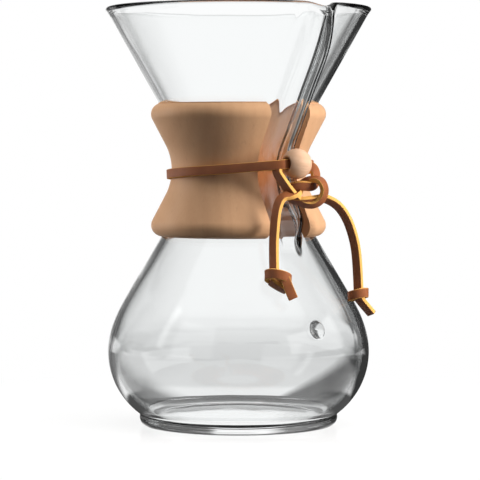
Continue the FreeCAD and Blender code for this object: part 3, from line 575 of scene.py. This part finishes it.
CHANNEL = (
    (84.0, 41.0, 8.0, 5.0),
    (93.6, 41.2, 8.6, 5.0),
    (100.2, 41.5, 10.8, 5.2),
    (104.5, 41.8, 11.0, 5.6),
    (110.6, 41.2, 9.6, 7.6),
    (117.0, 40.4, 8.8, 8.8),
    (129.0, 38.9, 8.3, 8.3),
    (140.3, 40.5, 8.3, 8.3),
    (148.0, 44.9, 8.4, 8.4),
    (168.0, 56.3, 8.5, 8.5),
    (188.0, 67.4, 8.6, 8.6),
    (199.0, 69.9, 8.6, 8.6),
    (212.8, 70.3, 8.6, 8.6),
)
CHANNEL_FOOT = 0.078
TOE, TOE_CREASE = (0.088, 0.101), 0.005
OUTER_CREASE, INNER_CREASE = 0.0035, 0.006


def smooth_channel(column, heights):
    """A smooth curve through a column of the channel's table."""
    known, values = 0.001 * np.array(CHANNEL)[:, (0, column)].T
    slopes = np.gradient(values, known)
    inside = np.clip(heights, known[0], known[-1])
    number = np.clip(np.searchsorted(known, inside) - 1, 0, len(known) - 2)
    span = known[number + 1] - known[number]
    t = (inside - known[number]) / span
    return (
        (2 * t**3 - 3 * t**2 + 1) * values[number]
        + (t**3 - 2 * t**2 + t) * span * slopes[number]
        + (3 * t**2 - 2 * t**3) * values[number + 1]
        + (t**3 - t**2) * span * slopes[number + 1]
    )


def wall_radius(heights, round_radius, turns, inset, crease):
    """Radius at each height and turn of the round wall joined smoothly with the channel."""
    crest, half, corner = (smooth_channel(n, heights)[:, None] - inset for n in (1, 2, 3))
    corner = np.minimum(corner, half)
    wall = round_radius[:, None]
    crease = np.interp(heights, TOE, (TOE_CREASE, crease))[:, None]
    # Halving finds the radius where the smooth join is 0.
    low = np.tile(0.5 * wall, (1, len(turns)))
    high = np.full_like(low, 0.1)
    for _ in range(34):
        middle = (low + high) / 2
        aside = np.abs(middle * np.sin(turns)) - (half - corner)
        ahead = middle * np.cos(turns) - (crest - corner)
        outside = np.hypot(np.maximum(aside, 0), np.maximum(ahead, 0))
        channel = outside + np.minimum(np.maximum(aside, ahead), 0) - corner
        channel = np.where(np.cos(turns) > 0.5, channel, 1.0)
        plain = middle - wall
        meet = np.maximum(crease - np.abs(channel - plain), 0) / crease
        gap = np.minimum(channel, plain) - meet**2 * crease / 4
        low = np.where(gap < 0, middle, low)
        high = np.where(gap < 0, high, middle)
    return (low + high) / 2


def rim_height(glass, ahead):
    """Height of the cut rim at a distance from the axis towards the spout."""
    over = np.clip(ahead - glass.dip_start, 0, 0.98 * glass.dip_bend)
    return glass.height - glass.dip_bend + np.sqrt(glass.dip_bend**2 - over**2)


def levels(*runs):
    """Heights in runs of (from, to, step)."""
    return np.concatenate([np.arange(low, high, step) for low, high, step in runs])


# The rim's dip bends the rows above the first height. The swell of its edge reaches this far down,
# and this much of it shows inside.

DIP_FOOT = 0.19
SWELL_REACH, SWELL_INSIDE = 0.0011, 0.6


def side_rows(glass, line, heights, turns, inset, crease):
    """Radius and height of the side at every turn, with the rim's dip in its upper part."""
    heights = heights[heights > glass.bulb_height]
    plain = np.interp(heights, line[:, 1], line[:, 0])
    radius = np.tile(plain[:, None], (1, len(turns)))
    tall = heights > CHANNEL_FOOT
    radius[tall] = wall_radius(heights[tall], plain[tall], turns, inset, crease)
    height = np.tile(heights[:, None], (1, len(turns)))
    tip = rim_height(glass, radius[-1] * np.cos(turns)) - glass.rim_round
    raised = np.clip((height - DIP_FOOT) / (heights[-1] - DIP_FOOT), 0, 1)
    height = np.where(height > DIP_FOOT, DIP_FOOT + raised * (tip - DIP_FOOT), height)
    below = (tip - height) / SWELL_REACH
    outwards = -SWELL_INSIDE if inset else 1.0
    return radius + outwards * glass.rim_swell * np.exp(-(below**2)), height


def add_button(glass, radius, height, turns):
    """Raise the small round button that marks half the volume."""
    bend = (turns + pi) % (2 * pi) - pi
    away = np.hypot(radius * bend, height - glass.button_height) / glass.button_radius
    dome = np.sqrt(np.clip(1 - away**2, 0, 1))
    return radius + glass.button_rise * dome


def vessel_mesh(glass):
    # Angles round the axis from the spout, close together at the channel.
    near, far = np.arange(-26, 26.01, 0.35), np.linspace(26, 334, 124)[1:-1]
    turns = np.radians(np.concatenate((near, far)))
    heel_bend, belly_bend = glass.heel_bend, glass.belly_bend
    heel_middle = (glass.foot_radius - heel_bend, heel_bend)
    belly_middle = (glass.bulb_radius - belly_bend, glass.bulb_height)
    _, heel_angle, belly_angle = circles_meet(heel_middle, heel_bend, belly_middle, belly_bend)
    dome = (glass.stand_inner**2 + glass.punt_rise**2) / (2 * glass.punt_rise)
    under = np.linspace(0.004, glass.stand_inner, 9)
    punt = np.column_stack((under, glass.punt_rise - dome + np.sqrt(dome**2 - under**2)))
    heel = arc_points(heel_middle, heel_bend, -pi / 2, heel_angle, 12)
    outer = side_line(glass, 0.0, belly_angle)
    low_belly = arc_points(belly_middle, belly_bend, belly_angle, 0, 24)[1:]
    foot = np.vstack((punt, heel, low_belly))
    top = glass.height - glass.rim_round
    outside = levels(
        (0.038, 0.0465, 0.0014),
        (0.0465, 0.057, 0.00045),
        (0.057, 0.078, 0.0016),
        (0.078, 0.102, 0.0008),
        (0.102, 0.2, 0.0018),
        (0.2, top + 0.0001, 0.0007),
    )
    radius, height = side_rows(glass, outer, outside, turns, 0.0, OUTER_CREASE)
    radius = add_button(glass, radius, height, turns)

    inner_floor = glass.punt_rise + glass.floor_depth
    floor_curve = 0.3  # radius of the bowl's nearly flat floor
    floor_middle = (0.0, inner_floor - floor_curve)
    bend = glass.floor_bend
    inner_belly = belly_bend - glass.wall
    corner, floor_angle, turn_in = circles_meet(
        floor_middle, floor_curve + bend, belly_middle, inner_belly - bend
    )
    floor = arc_points(floor_middle, floor_curve, pi / 2 - 0.012, floor_angle, 9)
    round_in = arc_points(corner, bend, floor_angle - pi, turn_in, 9)[1:]
    belly_in = arc_points(belly_middle, inner_belly, turn_in, 0, 20)[1:]
    bowl = np.vstack((floor, round_in, belly_in))
    inner = side_line(glass, glass.wall, turn_in)
    inside = levels(
        (0.038, 0.078, 0.0019),
        (0.078, 0.102, 0.001),
        (0.102, 0.2, 0.0021),
        (0.2, top + 0.0001, 0.0009),
    )
    in_radius, in_height = side_rows(glass, inner, inside, turns, glass.wall, INNER_CREASE)

    lip = np.linspace(0, pi, 10)[1:-1, None]
    half = (radius[-1] - in_radius[-1]) / 2
    lip_radius = in_radius[-1] + half + half * np.cos(lip)
    lip_radius += tan(glass.cone_angle) * glass.rim_round * np.sin(lip) / 2
    lip_height = rim_height(glass, lip_radius * np.cos(turns)) + glass.rim_round * (np.sin(lip) - 1)

    def round_rows(points):
        return (np.tile(points[:, n : n + 1], (1, len(turns))) for n in (0, 1))

    foot_radius, foot_height = round_rows(foot)
    bowl_radius, bowl_height = round_rows(bowl[::-1])
    all_radius = np.vstack((foot_radius, radius, lip_radius, in_radius[::-1], bowl_radius))
    all_height = np.vstack((foot_height, height, lip_height, in_height[::-1], bowl_height))
    spots = np.stack((all_radius * np.sin(turns), -all_radius * np.cos(turns), all_height), axis=-1)
    rows, columns = all_radius.shape
    poles = np.array([(0, 0, glass.punt_rise), (0, 0, inner_floor)])
    spots = np.vstack((spots.reshape(-1, 3), poles))
    faces = grid_faces(rows, columns)
    last = (rows - 1) * columns
    for column in range(columns):
        following = (column + 1) % columns
        faces.append((rows * columns, following, column))
        faces.append((rows * columns + 1, last + column, last + following))
    return closed_mesh("vessel_glass", spots, faces)


def circles_meet(first, radius, second, other):
    """Where two circles cross, further from the axis, and its angles seen from both middles."""
    across, up = second[0] - first[0], second[1] - first[1]
    apart = hypot(across, up)
    along = (apart**2 + radius**2 - other**2) / (2 * apart)
    swing = acos(along / radius)
    turns = [atan2(up, across) + side * swing for side in (1, -1)]
    spot = max((first[0] + radius * cos(turn), first[1] + radius * sin(turn)) for turn in turns)
    angles = (atan2(spot[1] - at[1], spot[0] - at[0]) for at in (first, second))
    return spot, *angles


def collar_outline(collar, glass):
    """The collar in section: outside from the bottom up, then down the bore."""
    half = collar.height / 2
    lip = (collar.lip - collar.lip_bend, half - collar.lip_bend)
    hollow = (collar.waist + collar.hollow, 0.0)
    across = hollow[0] - lip[0]
    apart = hypot(across, lip[1])
    slope = atan2(lip[1], across) - acos((collar.hollow + collar.lip_bend) / apart)
    low_lip = arc_points((lip[0], -lip[1]), collar.lip_bend, -pi / 2, slope, 12)
    waist = arc_points(hollow, collar.hollow, pi + slope, pi - slope, 48)[1:-1]
    top_lip = arc_points(lip, collar.lip_bend, -slope, pi / 2, 12)
    outside = np.vstack((low_lip, waist, top_lip))
    outside[:, 1] += collar.middle
    bore = side_line(glass, -collar.fit, 0.0)
    heights = outside[::-1, 1]
    inside = np.column_stack((np.interp(heights, bore[:, 1], bore[:, 0]), heights))
    return np.vstack((outside, inside))


def collar_mesh(collar, glass, side):
    """Half the collar, from the front opening to the saw cut at the back."""
    outline = collar_outline(collar, glass)
    radius = outline[:, 0]
    first = np.arcsin(collar.gap / radius)
    last = pi - np.arcsin(collar.kerf / radius)
    steps = 72
    share = np.linspace(0, 1, steps)[:, None]
    turn = first + share * (last - first)
    height = np.tile(outline[:, 1], (steps, 1))
    spots = np.stack((side * radius * np.sin(turn), -radius * np.cos(turn), height), axis=-1)
    count = len(outline)
    faces = grid_faces(steps, count)
    end = (steps - 1) * count
    for point in range(count // 2 - 1):
        across = count - 1 - point
        faces.append((across, across - 1, point + 1, point))
        faces.append((end + point, end + point + 1, end + across - 1, end + across))
    return spots.reshape(-1, 3), faces


def soften(piece, width):
    """Round the sharp edges of a piece and keep its flat faces flat."""
    bevel = piece.modifiers.new("softened", "BEVEL")
    bevel.width = width
    bevel.segments = 3
    bevel.angle_limit = radians(40)
    bevel.harden_normals = True
    keep_result(piece)


def keep_result(piece):
    """Turn a piece with modifiers into a plain mesh."""
    graph = bpy.context.evaluated_depsgraph_get()
    result = bpy.data.meshes.new_from_object(piece.evaluated_get(graph))
    piece.modifiers.clear()
    old = piece.data
    piece.data = result
    result.name = piece.name
    bpy.data.meshes.remove(old)


def bead_mesh(collar):
    """A turned ball with a hole from side to side, its mouths softly chamfered."""
    bore, ball = collar.bead_bore, collar.bead_radius
    soft = 0.0006  # radius of the softened mouths
    mouth = asin((bore + soft) / ball)
    outside = arc_points((0, 0), ball, mouth, pi - mouth, 48)
    end = outside[0][0]
    rounding = arc_points((end - soft * 1.3, bore + soft), soft, -pi / 2, 0.5, 6)
    left_end = rounding.copy()
    left_end[:, 0] *= -1
    inside = np.column_stack((np.linspace(left_end[0][0], rounding[0][0], 8)[1:-1], [bore] * 6))
    outline = np.vstack((rounding, outside[1:-1], left_end[::-1], inside))
    steps = 72
    turn = np.linspace(0, 2 * pi, steps, endpoint=False)[:, None]
    along, radius = np.tile(outline[:, 0], (steps, 1)), outline[:, 1]
    spots = np.stack((along, radius * np.cos(turn), radius * np.sin(turn)), axis=-1)
    faces = grid_faces(steps, len(outline), wrapped=True)
    mesh = closed_mesh("bead_wood", spots.reshape(-1, 3), faces)
    mesh.transform(Matrix.Translation(BEAD))
    return mesh


# Straps: a route's line is a NURBS spline, and a node tree sweeps the strap along it.


def spline_points(stops, closed=False):
    """Points along the smooth line that the stops lead."""
    curve = bpy.data.curves.new("route", "CURVE")
    curve.dimensions = "3D"
    spline = curve.splines.new("NURBS")
    spline.points.add(len(stops) - 1)
    for point, stop in zip(spline.points, stops):
        point.co = (*stop, 1.0)
    spline.order_u = 3
    spline.use_endpoint_u = not closed
    spline.use_cyclic_u = closed
    spline.resolution_u = 10
    holder = bpy.data.objects.new("route", curve)
    mesh = bpy.data.meshes.new_from_object(holder)
    spots = np.array([vertex.co for vertex in mesh.vertices])
    bpy.data.curves.remove(curve)
    bpy.data.meshes.remove(mesh)
    return spots


def strap_route(stops):
    """A strap's middle line, which way its grain side faces along it, and that it is open."""
    spots = spline_points([hang(stop[:3]) for stop in stops])
    faces = spline_points([along_view(*stop[3:]) for stop in stops])
    return spots, faces, False


def route_mesh(name, routes):
    """Several routes as one mesh of edges, with the facing kept on its points."""
    spots, edges, faces = [], [], []
    for line, facing, closed in routes:
        start = len(spots)
        count = len(line)
        along = np.gradient(line, axis=0)
        if closed:
            along = np.roll(line, -1, axis=0) - np.roll(line, 1, axis=0)
        along /= np.linalg.norm(along, axis=1)[:, None]
        flat = facing - np.einsum("ij,ij->i", facing, along)[:, None] * along
        flat /= np.linalg.norm(flat, axis=1)[:, None]
        spots += line.tolist()
        faces += flat.tolist()
        edges += [(start + n, start + n + 1) for n in range(count - 1)]
        if closed:
            edges.append((start + count - 1, start))
    mesh = bpy.data.meshes.new(name)
    mesh.from_pydata(spots, edges, [])
    layer = mesh.attributes.new("face", "FLOAT_VECTOR", "POINT")
    layer.data.foreach_set("vector", np.array(faces, np.float32).ravel())
    return mesh


def strap_tree():
    """Sweeps a flat strap with softened corners along the edges of a mesh."""
    tree = bpy.data.node_groups.new("leather_strap", "GeometryNodeTree")
    graph = Graph(tree)
    inputs = {"Route": "Geometry", "Width": "Float", "Depth": "Float", "Rounding": "Float"}
    inputs["Leather"] = "Material"
    for name, kind in inputs.items():
        tree.interface.new_socket(name, in_out="INPUT", socket_type=f"NodeSocket{kind}")
    tree.interface.new_socket("Strap", in_out="OUTPUT", socket_type="NodeSocketGeometry")
    given = graph.add("NodeGroupInput")
    width, depth = given.output("Width"), given.output("Depth")
    line = graph.add("GeometryNodeMeshToCurve", {"Mesh": given})
    sockets = {"Name": "face"}
    facing = graph.add("GeometryNodeInputNamedAttribute", sockets, data_type="FLOAT_VECTOR")
    line = graph.add("GeometryNodeSetCurveNormal", {"Curve": line, "Normal": facing}, mode="FREE")
    sockets = {"Width": depth, "Height": width}
    outline = graph.add("GeometryNodeCurvePrimitiveQuadrilateral", sockets)
    sockets = {"Curve": outline, "Count": 3, "Radius": given.output("Rounding")}
    outline = graph.add("GeometryNodeFilletCurve", sockets, mode="POLY")
    place = graph.add("GeometryNodeInputPosition")
    parts = graph.add("ShaderNodeSeparateXYZ", {"Vector": place})
    outline = stored(graph, outline, "across", parts.output("Y") * 2 / width)
    outline = stored(graph, outline, "through", parts.output("X") * 2 / depth)
    sockets = {"Curve": line, "Profile Curve": outline, "Fill Caps": True}
    strap = graph.add("GeometryNodeCurveToMesh", sockets)
    strap = graph.add("GeometryNodeRealizeInstances", {"Geometry": strap})
    sockets = {"Geometry": strap, "Material": given.output("Leather")}
    strap = graph.add("GeometryNodeSetMaterial", sockets)
    graph.add("NodeGroupOutput", {"Strap": strap})
    return tree


def stored(graph, geometry, name, value):
    sockets = {"Geometry": geometry, "Name": name, "Value": value}
    return graph.add("GeometryNodeStoreNamedAttribute", sockets)


def sweep_strap(name, routes, thong):
    """A piece made of one or more straps."""
    tree = bpy.data.node_groups.get("leather_strap") or strap_tree()
    piece = new_object(name, route_mesh(name, routes))
    sweep = piece.modifiers.new("strap", "NODES")
    sweep.node_group = tree
    given = {"Width": thong.width, "Depth": thong.depth, "Rounding": thong.rounding}
    given["Leather"] = bpy.data.materials.get("thong_leather") or leather_material(thong)
    for item in tree.interface.items_tree:
        if item.in_out == "INPUT" and item.name in given:
            sweep[item.identifier] = given[item.name]
    keep_result(piece)
    piece.data.shade_smooth()
    return piece


def end_knot_routes(knot, tips):
    """The turn about the strap, and the stretches that come out of it."""
    wide, deep = knot["reach"]
    turn = np.linspace(0, 2 * pi, 10, endpoint=False)
    ring, facing = [], []
    for angle in turn:
        across, ahead = sin(angle), cos(angle)
        rise = knot["arch"] * ahead - knot["droop"] * across
        offset = (wide * across, rise, deep * ahead)
        ring.append(hang([at + further for at, further in zip(knot["middle"], offset)]))
        facing.append(along_view(across / wide, 0.0, ahead / deep).normalized())
    turn = (spline_points(ring, True), spline_points(facing, True), True)
    return [turn] + [strap_route(tip) for tip in tips]


# Operators.


def settings():
    return bpy.context.scene.pour_over


class POUROVER_OT_stage(bpy.types.Operator):
    """Make the camera, the floor, the room and the lamps"""

    bl_idname = "pourover.stage"
    bl_label = "Stage"

    def execute(self, context):
        stage = settings().stage
        make_camera(stage)
        make_floor(stage)
        make_room(stage)
        make_lamps()
        return {"FINISHED"}


# Focal length in millimetres, and how far the camera looks down and past the vessel's axis.

FOCAL_LENGTH = 175.35
LOOK_DOWN, LOOK_ASIDE = radians(2.278), radians(0.037)


def make_camera(stage):
    lens = bpy.data.cameras.new("camera")
    lens.lens = FOCAL_LENGTH
    lens.clip_start = 0.01
    camera = new_object("camera", lens)
    camera.location = along_view(0, stage.eye_height, stage.eye_distance)
    camera.rotation_euler = (pi / 2 - LOOK_DOWN, 0, -HANG_TURN - LOOK_ASIDE)
    bpy.context.scene.camera = camera


def make_floor(stage):
    reach = 6.0
    corners = ((-reach, -reach), (reach, -reach), (reach, reach), (-reach, reach))
    mesh = bpy.data.meshes.new("floor")
    mesh.from_pydata([(x, y, -0.0001) for x, y in corners], [], [(0, 1, 2, 3)])
    new_object("floor", mesh, floor_material(stage))


# Soft boxes that only show as reflections: heading, sine of the height angle, half width, half
# height and strength.

SOFT_BOXES = (
    (140, 0.27, 0.50, 0.18, 1.1),
    (-68, 0.42, 0.035, 0.26, 1.2),
    (-100, 0.20, 0.30, 0.40, 0.5),
)


def make_room(stage):
    """White behind the object from wherever it is seen, greyer between, and even light."""
    world = bpy.data.worlds.new("room")
    bpy.context.scene.world = world
    world.use_nodes = True
    graph = Graph(world.node_tree)
    look = graph.add("ShaderNodeTexCoord", output="Generated")
    parts = graph.add("ShaderNodeSeparateXYZ", {"Vector": look})
    heading = parts.maths("ARCTAN2", parts, parts.output("Y"))
    height = parts.output("Z")
    dark = stage.dark + from_camera(parts)[1].step(0.2, 0.6) * stage.front
    low = height.step(0.05, 0.02) * open_screens(heading, LOW_SCREENS)
    screens = low.maths("MAXIMUM", low, open_screens(heading, ROOM_SCREENS))
    panel = toward(toward(dark, 1.0, screens), 0.8, height.step(0.45, 0.8))
    for middle, level, wide, tall, glow in SOFT_BOXES:
        aside = abs(heading - radians(middle)).step(wide + 0.06, wide)
        over = abs(height - level).step(tall + 0.04, tall)
        panel = panel + aside * over * glow
    path = graph.add("ShaderNodeLightPath")
    soft = stage.ambient * (0.12 + height * 1.3)
    strength = toward(soft, panel, through_glass(path))
    strength = toward(strength, 1.0, path.output("Is Camera Ray"))
    light = graph.add("ShaderNodeBackground", {"Color": (1, 1, 1, 1), "Strength": strength})
    graph.add("ShaderNodeOutputWorld", {"Surface": light})


def make_lamps():
    """Soft boxes right, left and above, and a glow inside the neck."""
    middle = Vector((0, 0, 0.1))
    boxes = (
        ("right_box", (1.05, 0.15, 0.36), (0.4, 1.0), 30.0),
        ("left_box", (-1.1, 0.05, -0.45), (0.6, 1.1), 20.0),
        ("top_box", (0.1, 1.2, 0.25), (1.0, 0.8), 11.0),
    )
    for name, spot, extent, power in boxes:
        lamp = add_lamp(name, "AREA", middle + along_view(*spot), power)
        lamp.data.shape = "RECTANGLE"
        lamp.data.size, lamp.data.size_y = extent
        lamp.rotation_euler = (middle - lamp.location).to_track_quat("-Z", "Y").to_euler()
    # The light that goes to and fro between glass and wood.
    glow = add_lamp("neck_glow", "POINT", (0, 0, 0.128), 0.036)
    glow.data.shadow_soft_size = 0.01
    glow.data.color = (1.0, 0.5, 0.26)
    glow.visible_camera = False


def add_lamp(name, kind, place, power):
    """A lamp that lights surfaces and doesn't show in the glass."""
    data = bpy.data.lights.new(name, kind)
    data.energy = power
    lamp = new_object(name, data)
    lamp.location = place
    lamp.visible_glossy = False
    lamp.visible_transmission = False
    return lamp


class POUROVER_OT_tails(bpy.types.Operator):
    """Make the two loose ends of the thong, each with the knot at its end"""

    bl_idname = "pourover.tails"
    bl_label = "Thong tails"

    def execute(self, context):
        thong = settings().thong
        left = ("left", LEFT_TAIL, LEFT_END, LEFT_TIPS)
        right = ("right", RIGHT_TAIL, RIGHT_END, RIGHT_TIPS)
        for side, stops, knot, tips in (left, right):
            route = strap_route(stops)
            tail = sweep_strap(f"thong_tail_{side}", [route], thong)
            end = sweep_strap(f"thong_end_knot_{side}", end_knot_routes(knot, tips), thong)
            finish_piece(end, f"tie_end_knot_{side}")
            finish_piece(tail, f"tie_tail_{side}")
        return {"FINISHED"}


class POUROVER_OT_thong(bpy.types.Operator):
    """Make the thong's band round the collar and the knot under the bead"""

    bl_idname = "pourover.thong"
    bl_label = "Thong and knot"

    def execute(self, context):
        thong = settings().thong
        band = sweep_strap("thong_band", [band_route(thong, settings().collar)], thong)
        finish_piece(band, "tie_band")
        strands = [strap_route(stops) for stops in (LEFT_STRAND, RIGHT_STRAND)]
        knot = sweep_strap("thong_knot", strands, thong)
        finish_piece(knot, "tie_knot")
        return {"FINISHED"}


# The band round the collar: its gap to the wood, half its straight stretch through the bead, how
# far it hangs below that, and its slope.

BAND_GAP, BAND_CORNER, BAND_SAG = 0.00035, 0.0102, 0.0013
BAND_TILT = radians(3.6)


def band_route(thong, collar):
    """Round the collar's waist, tangent to it up to the bead, and through the bead."""
    radius = collar.waist + BAND_GAP + thong.depth / 2
    reach, corner, sag = -BEAD.y, BAND_CORNER, BAND_SAG
    away = acos(radius / hypot(corner, reach)) + atan2(corner, reach)
    turn = np.linspace(away, 2 * pi - away, 15)
    out = radius / cos((turn[1] - turn[0]) / 2)
    ring = [(angle, out) for angle in (turn[1:] + turn[:-1]) / 2]
    ring = [(away, radius), *ring, (2 * pi - away, radius)]
    stops = [(out * sin(angle), -out * cos(angle), -sag) for angle, out in ring]
    faces = [(sin(angle), -cos(angle), 0.0) for angle, out in ring]
    stops += [(-corner, -reach, -0.4 * sag), (-corner * 0.5, -reach, 0.0)]
    stops += [(corner * 0.5, -reach, 0.0), (corner, -reach, -0.4 * sag)]
    faces += [(-0.6, -0.8, 0.0), (0.0, -1.0, 0.0), (0.0, -1.0, 0.0), (0.6, -0.8, 0.0)]
    tilt = Matrix.Translation(BEAD) @ Matrix.Rotation(-BAND_TILT, 4, "X")
    lift = Vector((0, reach, 0))
    line = spline_points([tilt @ (Vector(stop) + lift) for stop in stops], True)
    facing = spline_points([tilt.to_3x3() @ Vector(face) for face in faces], True)
    return line, facing, True


class POUROVER_OT_collar(bpy.types.Operator):
    """Make the two halves of the wooden collar and the bead"""

    bl_idname = "pourover.collar"
    bl_label = "Collar and bead"

    def execute(self, context):
        collar, glass = settings().collar, settings().glass
        wood = wood_material("collar_wood", collar.pale, collar.dark, (0, 0, 0.4), 55.0)
        for name, side in (("left", -1), ("right", 1)):
            spots, faces = collar_mesh(collar, glass, side)
            half = new_object(f"wood_half_{name}", closed_mesh("half", spots, faces), wood)
            soften(half, collar.softening)
            half.data.shade_smooth()
            finish_piece(half, f"collar_half_{name}")
        wood = wood_material("bead_wood", collar.bead_pale, collar.bead_dark, (0, 1.5, 0.2), 90.0)
        bead = new_object("wood_bead", bead_mesh(collar), wood)
        finish_piece(bead, "bead", "bead")
        return {"FINISHED"}


class POUROVER_OT_glass(bpy.types.Operator):
    """Make the blown glass vessel"""

    bl_idname = "pourover.glass"
    bl_label = "Glass vessel"

    def execute(self, context):
        glass = settings().glass
        vessel = new_object("vessel_glass", vessel_mesh(glass), glass_material(glass))
        finish_piece(vessel, "glass_vessel")
        return {"FINISHED"}


class PourOverSettings(bpy.types.PropertyGroup):
    """All settings of the pour-over maker."""

    glass: bpy.props.PointerProperty(type=GlassSettings)
    collar: bpy.props.PointerProperty(type=CollarSettings)
    thong: bpy.props.PointerProperty(type=ThongSettings)
    stage: bpy.props.PointerProperty(type=StageSettings)


OPERATORS = [
    POUROVER_OT_stage,
    POUROVER_OT_tails,
    POUROVER_OT_thong,
    POUROVER_OT_collar,
    POUROVER_OT_glass,
]


class POUROVER_PT_panel(bpy.types.Panel):
    """Lists the pieces and their settings"""

    bl_label = "Pour-over"
    bl_space_type = "VIEW_3D"
    bl_region_type = "UI"
    bl_category = "Pour-over"

    def draw(self, context):
        for operator in OPERATORS:
            self.layout.operator(operator.bl_idname)
        for group in ("glass", "collar", "thong", "stage"):
            box = self.layout.box()
            box.label(text=group.capitalize())
            values = getattr(settings(), group)
            for name in values.__annotations__:
                box.prop(values, name)


CLASSES = [GlassSettings, CollarSettings, ThongSettings, StageSettings, PourOverSettings]
CLASSES += [*OPERATORS, POUROVER_PT_panel]


def register():
    for item in CLASSES:
        bpy.utils.register_class(item)
    bpy.types.Scene.pour_over = bpy.props.PointerProperty(type=PourOverSettings)


def unregister():
    del bpy.types.Scene.pour_over
    for item in reversed(CLASSES):
        bpy.utils.unregister_class(item)


def main():
    register()
    bpy.context.scene.view_settings.view_transform = "Standard"
    for operator in OPERATORS:
        getattr(bpy.ops.pourover, operator.bl_idname.split(".")[1])()


if __name__ == "__main__":
    main()
